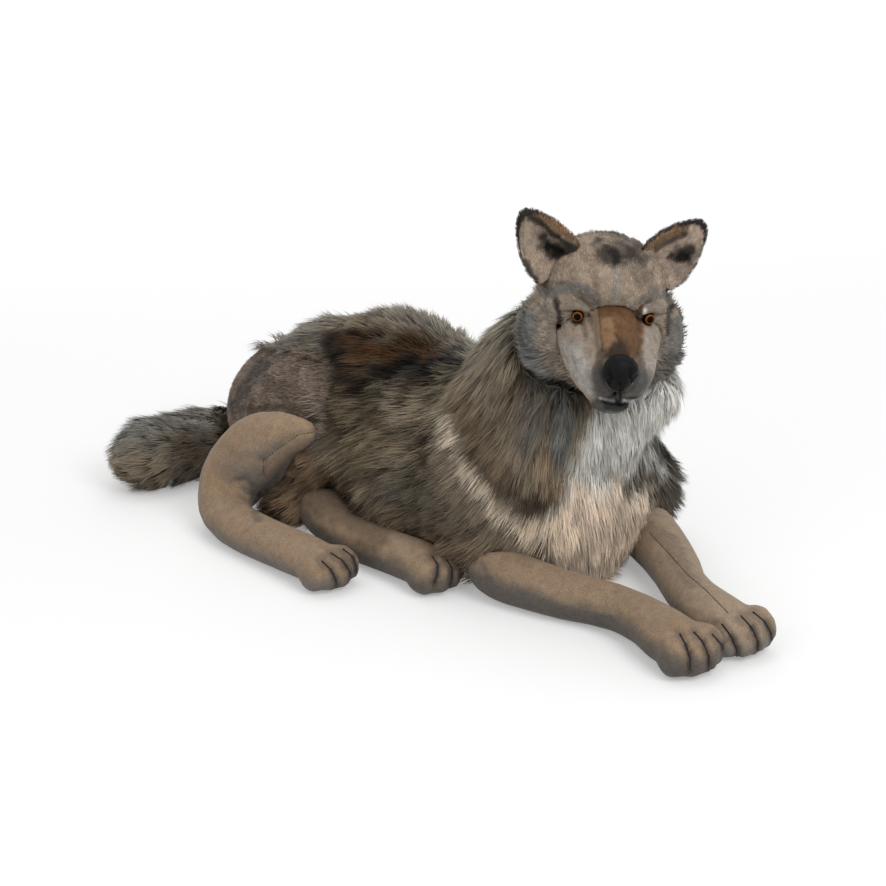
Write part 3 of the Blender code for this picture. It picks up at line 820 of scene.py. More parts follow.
def grow(name, skin, patch, material, **sizes):
    """Grows pile on a painted patch of a skin."""
    pile = run_tree(name, skin.data, pile_tree, Patch=patch, Finish=material, **sizes)
    mesh = pile.data
    flat = np.empty(len(mesh.vertices) * 3)
    mesh.attributes["skin_normal"].data.foreach_get("vector", flat)
    mesh.normals_split_custom_set_from_vertices(flat.reshape(-1, 3).tolist())
    mesh.attributes.remove(mesh.attributes["skin_normal"])
    return pile


# %% [markdown]
# ## Finishes for skin and pile
# One hair is darker at the root, where others shade it, and takes the tip colour further out.
# The finish mixes the two painted colours along the blade and gives each lock its own tone.

# %% Pile and cloth finishes
def pile_finish(name, from_height, to_height):
    """Hairs whose colour goes from the root's to the tip's between two heights."""
    made, desk, surface = finish(name, 0.68, 0.02, 0.12)
    blend = desk.span(desk.painted("along").out("Fac"), from_height, to_height)
    colour = desk.mix(blend, desk.painted("root_colour"), desk.painted("tip_colour"))
    feed(surface, "Base Color", colour * desk.painted("tone").out("Fac"))
    return made


def skin_finish(name, grain_size, bump, sheen):
    """Cloth whose colour is painted on the skin, with the fine grain of a short nap."""
    made, desk, surface = finish(name, 0.9, sheen)
    grain = desk.noise(grain_size, 4.0)
    streak = desk.noise(110.0, 5.0)
    colour = desk.painted("root_colour") * (grain * 1.3 + streak * 0.6 + 0.05)
    feed(surface, "Base Color", colour)
    relief = desk.add("ShaderNodeBump", {}, {"Strength": bump, "Distance": 0.0006, "Height": grain})
    feed(surface, "Normal", relief)
    return made


long_pile = pile_finish("long_pile", 0.15, 0.9)
short_pile = pile_finish("short_pile", 0.0, 0.8)
velour = skin_finish("velour", 750.0, 0.6, 0.08)
nap = skin_finish("nap", 1300.0, 0.4, 0.06)
print("finishes", [made.name for made in (long_pile, short_pile, velour, nap)])

# %% [markdown]
# ## The body's coat
# The saddle and flanks are long and shaggy, beige at the tips over a dark ground, with
# dark-brown patches along the back. The mane flows down from the head over the shoulders and
# ends in a ragged edge above a cream stripe. The thighs and rump are a shorter, darker pile,
# and the bib is white under the chin and cream lower down.

# %% The body's patches and comb
MIDLINE = (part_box("torso")[0][0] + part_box("torso")[1][0]) / 2


def mirror_body(values, is_direction=False):
    flipped = values * np.array((-1, 1, 1))
    return flipped if is_direction else flipped + np.array((2 * MIDLINE, 0, 0))


body = Coat(body_skin, (0.100, 0.080, 0.055), (0.85, 1.95), mirror_body)
x, y, z = body.points.T
outward = np.sign(x - MIDLINE) * ease(np.abs(x - MIDLINE), 0.0, 0.06)
flank = ease(-z, -0.20, -0.05)
sway = mottle(body.points, 0.06, 17) - 0.5
downward = -0.25 - 0.45 * flank + sway * 0.9
body.lie(np.stack([outward * (0.5 + sway), np.full_like(x, 0.85), downward], axis=1))

RUMP_OUTLINE = [
    (150, 350), (262, 352), (298, 357), (324, 362), (333, 374), (328, 393), (324, 410), (311, 423),
    (300, 445), (150, 470),
]
rump_weight = body.inside(RUMP_OUTLINE, 2.0, 2.0)
rump_end = np.percentile(y, 99) - 0.045
rump_back = ease(y, rump_end - 0.006, rump_end + 0.006) * ease(-z, -0.19, -0.17)
rump_weight = np.maximum(rump_weight, rump_back)

mane_normal = np.array((-0.10, -0.80, 0.62))
mane_normal /= np.linalg.norm(mane_normal)
body_tree = tree_of(body_skin.data)
sewn_edge = np.array(body_tree.ray_cast(camera.location, ray_through(458, 420))[0])
mane_depth = (body.points - sewn_edge) @ mane_normal
mane_weight = ease(mane_depth, -0.010, 0.010) * (1 - rump_weight)
backward = 0.20 + 0.60 * ease(-mane_depth, -0.10, 0.0) - 0.25 * ease(-y, 0.15, 0.22)
mane_way = np.stack([outward * 0.22 + sway * 0.35, backward, np.full_like(x, -0.85)], axis=1)
body.lie(mane_way, mane_weight)

BIB_OUTLINE = [
    (600, 360), (597, 408), (584, 437), (573, 466), (560, 486), (556, 512), (520, 500), (512, 520),
    (540, 550), (575, 600), (640, 600), (640, 545), (651, 526), (648, 500), (655, 460), (668, 442),
    (674, 410), (700, 380), (700, 330), (650, 330),
]
own_side = in_photo(body.points)[:, 0] > 548


def in_bib():
    """Weights of 1 where a point looks at a pixel of the bib."""
    within = body.inside(BIB_OUTLINE, 3.5, 5.0)
    return within * (1 - rump_weight) * ease(-y, 0.02, 0.04) * own_side


bib_weight = in_bib()
body.lie(np.stack([sway * 0.5, np.full_like(x, -0.12), np.full_like(x, -1.0)], axis=1), bib_weight)
head_tree = tree_of(head_skin.data)
to_head = np.array([head_tree.find_nearest(Vector(place))[3] for place in body.points])
away_from_head = np.sum(body.normals * (body.points - np.array(head_centre)), axis=1)
collar = ease(-to_head, -0.060, -0.020) * mane_weight * ease(away_from_head, 0.03, 0.08)
body.points += body.normals * (rump_weight * 0.008 + collar * 0.009)[:, None]
move_points(body_skin.data, body.points)
print("rump points", int(rump_weight.sum()), "of", len(x))

# %% [markdown]
# A hair shows its colour at its middle, some way from its root. So before the marks go on,
# each point looks at the pixel that its hair's middle falls on. All marks are lines of pixels
# with a radius, the colour seen there and how fully it covers.

# %% Paint the saddle, flank and rump
body.look(0.020, 0.010)
coarse, fine = mottle(body.points, 0.045, 3), mottle(body.points, 0.020, 5)
body.lay(ease(coarse, 0.45, 0.75) * 0.5, (0.060, 0.046, 0.032))
body.lay(ease(fine, 0.55, 0.8) * 0.4, (0.145, 0.118, 0.084))
SADDLE_MARKS = (
    (
        [(262, 350), (285, 333), (340, 311), (385, 300), (430, 312), (470, 340)],
        15, (0.185, 0.165, 0.138), 0.95,
    ),
    ([(330, 328), (380, 323), (440, 338)], 8, (0.150, 0.120, 0.082), 0.8),
    ([(318, 340), (350, 336), (372, 330)], 6, (0.026, 0.016, 0.010), 0.9),
    ([(340, 347), (385, 352), (425, 352)], 14, (0.044, 0.021, 0.008), 1.0),
    ([(334, 350), (341, 372), (336, 395), (329, 418)], 14, (0.006, 0.003, 0.002), 1.0),
    ([(352, 368), (366, 388)], 8, (0.050, 0.030, 0.016), 0.8),
    ([(366, 384), (392, 386), (414, 370)], 16, (0.006, 0.004, 0.003), 1.0),
    ([(398, 372), (440, 363), (484, 350)], 11, (0.006, 0.006, 0.006), 1.0),
    ([(408, 410), (428, 412), (438, 432)], 22, (0.180, 0.148, 0.103), 0.9),
    ([(350, 425), (375, 445), (350, 465)], 22, (0.115, 0.090, 0.057), 0.8),
    ([(365, 415), (395, 430)], 6, (0.040, 0.029, 0.019), 0.7),
    ([(400, 455), (425, 470)], 8, (0.150, 0.120, 0.082), 0.7),
    ([(312, 415), (316, 450)], 8, (0.110, 0.092, 0.077), 0.85),
    ([(306, 458), (326, 478), (345, 500), (368, 528)], 9, (0.018, 0.012, 0.007), 1.0),
    ([(388, 484), (412, 497), (442, 505)], 20, (0.082, 0.071, 0.054), 0.85),
    ([(378, 515), (400, 528), (425, 542)], 12, (0.130, 0.098, 0.064), 0.85),
    ([(440, 535), (470, 556), (500, 560)], 16, (0.104, 0.076, 0.050), 0.8),
    ([(426, 440), (440, 474), (470, 510), (496, 543)], 8, (0.022, 0.014, 0.009), 0.95),
    ([(280, 480), (285, 520)], 34, (0.190, 0.130, 0.080), 0.9),
    ([(268, 490), (272, 525)], 7, (0.060, 0.038, 0.022), 0.8),
)
body.mark(SADDLE_MARKS, ragged=1.0)
body.lay(rump_weight, (0.152, 0.116, 0.090))
body.lay(rump_weight * ease(coarse, 0.45, 0.75) * 0.6, (0.110, 0.074, 0.055))
RUMP_MARKS = (
    ([(316, 372), (324, 385), (314, 402)], 9, (0.265, 0.205, 0.170), 0.8),
    ([(290, 372), (300, 392)], 8, (0.190, 0.150, 0.124), 0.6),
    ([(262, 385), (285, 400)], 10, (0.074, 0.054, 0.042), 0.6),
    ([(250, 365), (233, 392), (226, 412)], 7, (0.060, 0.054, 0.048), 0.8),
    ([(236, 416), (262, 408), (300, 412)], 4, (0.040, 0.028, 0.020), 0.7),
)
body.mark(RUMP_MARKS, within=rump_weight)
print("saddle and rump marks", len(SADDLE_MARKS) + len(RUMP_MARKS))

# %% [markdown]
# The mane is another fur than the saddle, cut where it was sewn to it, so its ground colour
# goes on by the distance from that seam. The bib is a third fur, white under the chin and
# cream lower down. A thin cream stripe was dyed along the mane's ragged edge, so it is one
# more mark. At the end each patch gets its weight, so that one tree can grow all the furs.

# %% Paint the mane, bib and stripe
mane_paint = ease(mane_depth, -0.012, 0.008) * (1 - rump_weight)
body.lay(mane_paint * 0.85, (0.156, 0.125, 0.088))
body.lay(mane_paint * ease(mottle(body.points, 0.03, 9), 0.5, 0.8) * 0.5, (0.070, 0.063, 0.052))
body.lay(mane_paint * ease(fine, 0.55, 0.8) * 0.4, (0.185, 0.148, 0.104))
MANE_MARKS = (
    ([(530, 296), (505, 328), (478, 350)], 16, (0.275, 0.252, 0.198), 0.85),
    ([(500, 355), (480, 378), (462, 400)], 15, (0.205, 0.168, 0.120), 0.75),
    ([(512, 335), (500, 372)], 8, (0.190, 0.165, 0.125), 0.5),
    ([(465, 405), (478, 440), (498, 475)], 12, (0.102, 0.072, 0.044), 0.8),
    ([(505, 395), (508, 445)], 10, (0.138, 0.110, 0.076), 0.8),
    ([(488, 420), (492, 450)], 5, (0.055, 0.040, 0.026), 0.7),
    ([(527, 385), (532, 420), (528, 450)], 10, (0.078, 0.075, 0.066), 0.85),
    ([(550, 388), (562, 420), (560, 452)], 12, (0.102, 0.108, 0.104), 0.95),
    ([(560, 400), (575, 415)], 6, (0.110, 0.105, 0.094), 0.7),
    ([(540, 458), (550, 486)], 9, (0.190, 0.136, 0.088), 0.85),
    ([(470, 446), (490, 476), (512, 492)], 6, (0.045, 0.034, 0.023), 0.75),
    ([(512, 480), (530, 498), (552, 506)], 7, (0.026, 0.017, 0.011), 0.9),
)
body.mark(MANE_MARKS)
bib_paint = in_bib()
body.lay(bib_paint, (0.510, 0.506, 0.474))
lower = ease(body.pixels[:, 1] + (fine - 0.5) * 40, 470, 500)
body.lay(bib_paint * lower, (0.700, 0.585, 0.465))
body.lay(bib_paint * ease(mottle(body.points, 0.014, 21), 0.62, 0.85) * 0.25, (0.24, 0.195, 0.145))
BIB_MARKS = (
    (
        [(447, 418), (455, 446), (469, 474), (489, 498), (511, 518), (536, 540), (560, 556)],
        5.2, (0.68, 0.585, 0.465),
    ),
    ([(520, 520), (540, 532), (560, 540)], 8, (0.70, 0.59, 0.46)),
    ([(629, 488), (640, 484), (654, 474)], 9, (0.075, 0.062, 0.044)),
    ([(664, 448), (676, 470), (678, 500), (668, 530)], 17, (0.058, 0.052, 0.042)),
    ([(660, 470), (663, 480)], 4, (0.50, 0.49, 0.46)),
    ([(562, 470), (556, 492)], 4, (0.26, 0.195, 0.135)),
    ([(664, 404), (676, 385), (684, 368)], 11, (0.64, 0.635, 0.60)),
)
body.mark(BIB_MARKS)
mane_only = mane_weight * (1 - bib_weight)
saddle_only = np.clip(1 - rump_weight - mane_only - bib_weight, 0, 1)
behind = ease(y, 0.045, 0.065)
body.length *= 1 - 0.25 * ease(z, 0.20, 0.24) * saddle_only
beside_rump = ease(-distance_to(RUMP_OUTLINE[2:9], in_photo(body.points)), -36, -10)
body.length *= 1 - 0.5 * beside_rump * saddle_only
body.save(
    saddle=saddle_only * (1 - behind), loin=saddle_only * behind,
    mane=mane_only, bib=bib_weight, rump=rump_weight,
)
body_skin.data.materials.append(velour)
print("mane and bib marks", len(MANE_MARKS) + len(BIB_MARKS))

# %% [markdown]
# Each patch is grown as one piece, with its own length, density and wildness. The saddle's
# fur is grown as two pieces, as one would be too large for a single mesh.

# %% Grow the body's pile
shaggy = {
    "Length": 0.044, "Width": 0.0011, "Rise": 0.40, "Lift": 0.28, "Wander": 0.34, "Joints": 2,
    "Lock_Density": 6500.0, "Lock_Pull": 0.66,
}
saddle_fur = grow("saddle_fur", body_skin, "saddle", long_pile, Density=255000.0, Seed=1, **shaggy)
loin_fur = grow("loin_fur", body_skin, "loin", long_pile, Density=235000.0, Seed=11, **shaggy)
mane_fur = grow(
    "mane_fur", body_skin, "mane", long_pile, Density=405000.0, Length=0.046, Seed=2, Joints=2,
    Width=0.0010, Rise=0.30, Lift=0.24, Wander=0.22, Lock_Density=7500.0, Lock_Pull=0.58,
)
bib_fur = grow(
    "bib_fur", body_skin, "bib", long_pile, Density=400000.0, Length=0.036, Seed=3, Joints=2,
    Width=0.0011, Rise=0.34, Lift=0.26, Wander=0.24, Lock_Density=9000.0, Lock_Pull=0.5,
)
rump_fur = grow(
    "rump_fur", body_skin, "rump", short_pile, Density=300000.0, Length=0.0065, Seed=4, Joints=1,
    Width=0.0014, Rise=0.5, Lift=0.35, Wander=0.22, Lock_Density=9000.0, Lock_Pull=0.2,
)

# %% [markdown]
# ## Tail
# The tail is the same long pile as the saddle, combed towards its end, with a frosting of
# grey on top.

# %% Paint and grow the tail
tail = Coat(tail_skin, (0.170, 0.146, 0.112), (0.85, 1.95))
low, high = tail.points.min(axis=0), tail.points.max(axis=0)
tail_end = np.array((low[0], (low[1] + high[1]) / 2 + 0.03, 0.045))
tail.lie(tail_end + np.array((-0.12, 0.03, -0.01)) - tail.points)
tail.look(0.016, 0.010)
tail.lay(ease(mottle(tail.points, 0.03, 4), 0.5, 0.75) * 0.7, (0.085, 0.067, 0.048))
tail.lay(ease(tail.points[:, 2], 0.060, 0.085) * 0.6, (0.190, 0.182, 0.164))
TAIL_MARKS = (
    ([(118, 440), (150, 425), (200, 420)], 14, (0.195, 0.190, 0.172)),
    ([(185, 440), (195, 470)], 12, (0.100, 0.077, 0.056)),
    ([(125, 462), (160, 470)], 14, (0.235, 0.190, 0.134)),
)
tail.mark(TAIL_MARKS, 0.7)
tail.save(tail=np.ones(len(tail.points)))
tail_skin.data.materials.append(velour)
tail_fur = grow(
    "tail_fur", tail_skin, "tail", long_pile, Density=360000.0, Length=0.038, Seed=5, Joints=2,
    Width=0.0011, Rise=0.55, Lift=0.32, Wander=0.32, Lock_Density=8000.0, Lock_Pull=0.62,
)

# %% [markdown]
# ## Head
# The skull and cheeks carry a short dense pile that lies back from the muzzle and grows
# longer behind the cheeks, where it covers the neck seam. The mask round the muzzle, the lids
# and the bridge are other cloths with a very short nap, so they have a skin of their own, and
# the crease where it is sewn in shows by itself, save beside the lids, where it also gets
# painted shade.

# %% Press the creases of the face
def mirror_head(values, is_direction=False):
    axes, flip = np.array(head_axes), np.array((-1, 1, 1))
    if is_direction:
        return (values @ axes * flip) @ axes.T
    centre = np.array(head_centre)
    return ((values - centre) @ axes * flip) @ axes.T + centre


MOUTH = [(603, 401), (612, 403.5), (620, 404.5), (630, 403.5), (639, 400)]
# The lid lines are pressed in as creases and painted dark as the shade in them.
RIGHT_LID_LINE = [(555, 301), (556, 309), (558, 318), (559, 326)]
LEFT_LID_LINE = [(671, 306), (671, 320), (669, 334), (666, 345)]
FACE_CREASES = (
    ([(554, 300), (564, 295), (578, 298), (590, 306)], 5, 0.0030),
    (RIGHT_LID_LINE, 5, 0.0040),
    ([(561, 332), (566, 345), (574, 366), (583, 382), (598, 399)], 4, 0.0016),
    ([(648, 305), (660, 299), (670, 304)], 4.5, 0.0030),
    (LEFT_LID_LINE, 4.5, 0.0036),
    ([(660, 350), (658, 356), (657, 374), (645, 397)], 4, 0.0016),
    ([(598, 306), (600, 325), (603, 352)], 2.0, 0.0008),
    (MOUTH, 3.2, 0.0034),
    ([(615, 397), (625, 397)], 7, -0.0060),
    ([(583, 322), (585, 334), (584, 344)], 3.0, 0.0012),
)
face = Coat(head_skin, (0.240, 0.195, 0.150), (1.15, 1.75), mirror_head)
mask = Coat(mask_skin, (0.300, 0.240, 0.184), (1.0, 1.35))
for coat in (face, mask):
    coat.press(FACE_CREASES)
print("face creases", len(FACE_CREASES))

# %% [markdown]
# The forehead is tan, the crown dark and the cheeks grey where they turn down. The pile is
# combed away from the muzzle, and it gets longer at the nape and jowls, where it meets the
# mane. So the head grows two furs, a short one and a longer one that take turns.

# %% Paint the head
fx, fy, fz = in_head(face.points).T * 1000.0
local = np.stack([fx, fy, fz], axis=1)
face.lie((local - np.array((0.0, -112.0, -22.0))) @ np.array(head_axes).T)
face.look(0.003, 0.003)
face.lay(ease(fz, 25, 55), (0.265, 0.206, 0.154))
face.lay(ease(-fz, 20, 55) * ease(fy, -60, -40) * 0.7, (0.120, 0.116, 0.106))
face.lay(ease(mottle(face.points, 0.012, 2), 0.55, 0.85) * 0.35, (0.17, 0.135, 0.10))
face.lay(ease(mottle(face.points, 0.009, 12), 0.6, 0.9) * 0.35, (0.33, 0.275, 0.22))
HEAD_MARKS = (
    ([(520, 300), (522, 325), (530, 355)], 10, (0.115, 0.120, 0.118), 0.9),
    ([(530, 355), (548, 383), (577, 400)], 9, (0.150, 0.154, 0.150), 0.8),
    ([(692, 313), (688, 345), (675, 369), (657, 386)], 8, (0.115, 0.115, 0.110), 0.85),
    ([(540, 312), (548, 345), (566, 372)], 9, (0.215, 0.186, 0.152), 0.8),
    ([(560, 350), (570, 375), (588, 394)], 6, (0.230, 0.184, 0.142), 0.7),
    ([(680, 320), (678, 345), (668, 362)], 7, (0.120, 0.116, 0.108), 0.85),
    ([(606, 250), (620, 246), (642, 248)], 16, (0.070, 0.057, 0.047), 0.85),
    ([(606, 248), (618, 257), (632, 252)], 9, (0.026, 0.021, 0.017), 0.8),
    ([(612, 250), (617, 257)], 5, (0.010, 0.008, 0.007), 0.9),
    ([(625, 262), (634, 258)], 5, (0.105, 0.085, 0.070), 0.8),
    ([(640, 268), (647, 280)], 8, (0.140, 0.112, 0.090), 0.75),
    ([(617, 270), (618, 300)], 5, (0.215, 0.195, 0.168), 0.7),
    ([(593, 270), (597, 300)], 3.5, (0.145, 0.108, 0.076), 0.7),
    ([(551, 293), (563, 286), (580, 287), (592, 300)], 6, (0.120, 0.116, 0.107), 0.85),
    ([(646, 299), (658, 290), (671, 297)], 5, (0.135, 0.126, 0.112), 0.8),
    ([(553, 262), (540, 280)], 5, (0.170, 0.138, 0.106), 0.6),
    # Painted shade in the creases beside the lids.
    (RIGHT_LID_LINE, 4.0, (0.028, 0.022, 0.018), 0.95),
    (LEFT_LID_LINE[:3], 3.5, (0.040, 0.033, 0.028), 0.9),
    ([(580, 275), (605, 268)], 6, (0.300, 0.240, 0.180), 0.6),
    ([(655, 262), (662, 280)], 6, (0.300, 0.238, 0.180), 0.6),
)
face.mark(HEAD_MARKS)
face.length = 1.0 - 0.45 * ease(-fy, 15, 50)
crown = ease(fz, 22, 40)
nape = ease(fy, -14 + 36 * crown, 12 + 36 * crown)
jowl = ease(-fz, 34, 46) * ease(fy, -62, -40)
nape = np.maximum(nape, jowl * 0.8)
face.lay(ease(fy, -4 + 30 * crown, 26 + 30 * crown), (0.175, 0.153, 0.121))
face.length *= 1 - 0.35 * crown
face.save(head_pile=1 - nape * 0.9, nape=nape)
head_skin.data.materials.append(nap)
head_fur = grow(
    "head_fur", head_skin, "head_pile", short_pile, Density=520000.0, Length=0.0080, Seed=6,
    Joints=2, Width=0.0009, Rise=0.22, Lift=0.20, Wander=0.14, Lock_Density=30000.0, Lock_Pull=0.2,
)
nape_fur = grow(
    "nape_fur", head_skin, "nape", long_pile, Density=340000.0, Length=0.024, Seed=16,
    Joints=2, Width=0.0010, Rise=0.30, Lift=0.26, Wander=0.22, Lock_Density=9000.0, Lock_Pull=0.5,
)

# %% [markdown]
# The mask is sewn from a pale cloth with a brown bridge, and a worker airbrushes the greys
# round the nose and the mouth. The lids' dark rims are painted shade in the creases beside
# the lids. Airbrushing leaves soft edges, so these marks are less ragged and softer than
# those on the fur.

# %% Paint the mask, lids, bridge and lips
mask.look()
BRIDGE_OUTLINE = [
    (597, 302), (642, 302), (645, 322), (642, 340), (640, 358), (603, 358), (600, 330),
]
bridge = mask.inside(BRIDGE_OUTLINE, 4.0, 3.0)
mask.lay(bridge, (0.152, 0.080, 0.038))
mask.lay(bridge * ease(-mask.pixels[:, 1], -322, -302), (0.105, 0.050, 0.021))
mask.lay(mask.near([(606, 325), (610, 345)], 7, 0.4) * bridge * 0.7, (0.310, 0.190, 0.105))
mask.lay(mask.near([(634, 318), (638, 345)], 6, 0.4) * bridge * 0.6, (0.130, 0.070, 0.034))
MASK_MARKS = (
    ([(592, 300), (595, 325), (600, 352)], 3.5, (0.230, 0.165, 0.112), 0.7),
    ([(572, 345), (580, 368), (590, 386)], 9, (0.370, 0.348, 0.318), 0.9),
    ([(566, 322), (574, 340)], 6, (0.280, 0.222, 0.172), 0.8),
    ([(588, 340), (598, 366)], 6, (0.285, 0.225, 0.170), 0.7),
    ([(653, 338), (650, 362), (644, 388)], 7, (0.360, 0.325, 0.280), 0.85),
    ([(662, 330), (654, 346)], 6, (0.290, 0.235, 0.188), 0.7),
    ([(560, 304), (575, 303), (586, 307)], 5, (0.235, 0.190, 0.150), 0.8),
    ([(653, 307), (665, 306)], 5, (0.225, 0.188, 0.152), 0.8),
    ([(599, 366), (598, 378), (602, 389)], 5.5, (0.085, 0.074, 0.066), 0.65),
    ([(602, 354), (599, 366)], 4.5, (0.060, 0.047, 0.038), 0.6),
    ([(640, 366), (642, 378), (637, 389)], 5.5, (0.110, 0.098, 0.088), 0.55),
    ([(638, 352), (641, 364)], 4.5, (0.075, 0.056, 0.042), 0.55),
    ([(598, 376), (600, 387), (608, 395), (618, 398)], 7.5, (0.068, 0.065, 0.063), 0.85),
    ([(622, 398), (631, 395), (639, 387), (642, 376)], 7.0, (0.085, 0.082, 0.079), 0.85),
    (
        [(603, 372), (606, 384), (613, 392), (627, 392), (634, 384), (637, 372)],
        2.6, (0.040, 0.038, 0.036), 0.6,
    ),
    ([(604, 401), (620, 403), (638, 400)], 3.5, (0.020, 0.019, 0.019), 0.9),
    ([(602, 399), (612, 402), (620, 403), (640, 398)], 2.5, (0.012, 0.012, 0.012), 1.0),
    ([(598, 404), (608, 410), (621, 412), (634, 408), (642, 402)], 6, (0.075, 0.073, 0.071), 0.9),
    ([(606, 406), (620, 407.5), (634, 405)], 3, (0.022, 0.022, 0.022), 0.8),
    ([(608, 412.5), (622, 414), (633, 411)], 1.6, (0.22, 0.22, 0.22), 0.8),
    ([(600, 397.5), (608, 400), (614, 400.5)], 1.1, (0.40, 0.40, 0.40), 0.85),
    ([(623, 400.5), (630, 400.5), (636, 400)], 1.1, (0.40, 0.40, 0.40), 0.85),
    ([(620, 392), (620, 403)], 1.4, (0.008, 0.008, 0.008), 0.9),
    # Painted shade in the creases beside the lids.
    (RIGHT_LID_LINE, 3.0, (0.020, 0.015, 0.012), 0.95),
    (LEFT_LID_LINE, 2.6, (0.030, 0.023, 0.019), 0.9),
    ([(583, 322), (586, 336)], 2.6, (0.120, 0.088, 0.066), 0.6),
    ([(572, 322), (576, 325), (582, 323)], 1.2, (0.020, 0.015, 0.012), 0.8),
    # A painted glint: a thin white stroke beside the left eye.
    ([(645, 310), (644.5, 323)], 1.6, (0.60, 0.58, 0.55), 0.95),
)
wedge = mask.inside([(618, 333), (627, 347), (634, 362), (604, 362), (609, 348)], 4.5, 4.5)
mask.mark(MASK_MARKS, ragged=0.3, soft=1.1)
mask.lay(wedge * (bridge + 0.3).clip(0, 0.9), (0.030, 0.022, 0.017))
mask.lay(mask.near([(598, 305), (600, 325), (603, 352)], 1.2, 0.1) * 0.5, (0.060, 0.036, 0.021))
mask.lay(mask.near(MOUTH, 1.6, 0.1), (0.002, 0.002, 0.002))
EYE_HOLLOW = 0.0088
for coat in (face, mask):
    for node in ("right_eye", "left_eye"):
        gap = np.linalg.norm(coat.points - np.array(centre_of(node)), axis=1)
        coat.lay(ease(-gap, -EYE_HOLLOW - 0.001, -EYE_HOLLOW + 0.001), (0.010, 0.007, 0.006))
forward = np.array(head_centre) - np.array(head_y) * 0.112 - np.array(head_z) * 0.022
mask.lie(mask.points - forward)
mask.save(mask_pile=np.ones(len(mask.points)))
mask_skin.data.materials.append(nap)
mask_nap = grow(
    "mask_nap", mask_skin, "mask_pile", short_pile, Density=620000.0, Length=0.0022, Seed=26,
    Joints=1, Width=0.0008, Rise=0.5, Lift=0.2, Wander=0.25, Lock_Density=30000.0, Lock_Pull=0.1,
)

# %% [markdown]
# ## Ears
# An ear is a cupped double cloth: a dark back that rolls over the edge as a black rim, and a
# tan lining whose pressed hollow gets painted shade.

# %% Paint the ears
EAR_MARKS = (
    ([(540, 233), (550, 246), (566, 252)], 9, (0.185, 0.146, 0.114), 0.8),
    ([(674, 257), (688, 252), (690, 262), (682, 272)], 8, (0.190, 0.150, 0.118), 0.8),
    ([(536, 214), (552, 221), (572, 236), (588, 248)], 5, (0.150, 0.090, 0.048), 1.0),
    ([(530, 218), (546, 228), (560, 240), (574, 251)], 3.0, (0.020, 0.016, 0.012), 0.95),
    ([(546, 238), (556, 243), (566, 249)], 2.6, (0.120, 0.098, 0.080), 0.7),
    # Painted shade in the right ear's pressed hollow.
    ([(543, 240), (549, 249), (556, 253), (566, 252)], 5.0, (0.030, 0.024, 0.020), 0.9),
    ([(549, 249), (562, 252)], 3.8, (0.006, 0.005, 0.004), 1.0),
    ([(517, 228), (522, 214), (533, 210), (548, 214)], 3.2, (0.022, 0.018, 0.015), 1.0),
    ([(524, 262), (534, 278)], 3, (0.030, 0.024, 0.020), 0.8),
    # Painted shade in the left ear's pressed hollow.
    ([(671, 257), (680, 254), (689, 254), (688, 262)], 5.0, (0.030, 0.025, 0.021), 0.95),
    ([(677, 259), (686, 259)], 4.2, (0.006, 0.005, 0.004), 1.0),
    ([(650, 247), (664, 239), (684, 229)], 3.6, (0.120, 0.072, 0.038), 0.95),
    ([(656, 250), (668, 243), (684, 234)], 2.0, (0.040, 0.032, 0.025), 0.8),
    (
        [(682, 226), (700, 221), (711, 228), (711, 250), (704, 275), (688, 294)],
        3.0, (0.018, 0.015, 0.013), 1.0,
    ),
)
EAR_PRESSES = (
    ([(543, 240), (549, 249), (562, 253)], 6, 0.0028),
    ([(673, 257), (688, 255), (686, 262)], 6, 0.0028),
    ([(536, 216), (552, 223), (572, 238)], 4, -0.0016),
)
ear_furs = {}
for number, (side, skin) in enumerate(ear_skins.items()):
    ear = Coat(skin, (0.085, 0.052, 0.030), (1.25, 2.1))
    ear.press(EAR_PRESSES)
    ear.pixels[ear.normals @ towards_camera < -0.05] = OFF_PHOTO
    lining_tree = tree_of(nodes[side + "_ear_lining"].data)
    gap = np.array([lining_tree.find_nearest(Vector(p))[3] for p in ear.points]) * 1000.0
    ahead = ear.normals @ -np.array(head_y)
    inside = ease(-gap, -4.0, -2.5) * ease(ahead, -0.1, 0.25)
    ear.lay((1 - inside) * ease(ahead, -0.5, 0.0), (0.020, 0.016, 0.013))
    ear.lay(inside, (0.300, 0.238, 0.186))
    ear.mark(EAR_MARKS, ragged=0.8, soft=1.3)
    ez = in_head(ear.points)[:, 2]
    tip_point = ear.points[np.argmax(ez)]
    base_point = ear.points[ez < np.percentile(ez, 20)].mean(axis=0)
    ear.lie(tip_point - base_point)
    ear.save(ear_pile=np.ones(len(ez)))
    skin.data.materials.append(nap)
    ear_furs[side] = grow(
        side + "_ear_fur", skin, "ear_pile", short_pile, Density=500000.0, Length=0.0045,
        Seed=7 + number, Joints=2, Width=0.0009, Rise=0.7, Lift=0.3, Wander=0.3,
        Lock_Density=40000.0, Lock_Pull=0.2,
    )
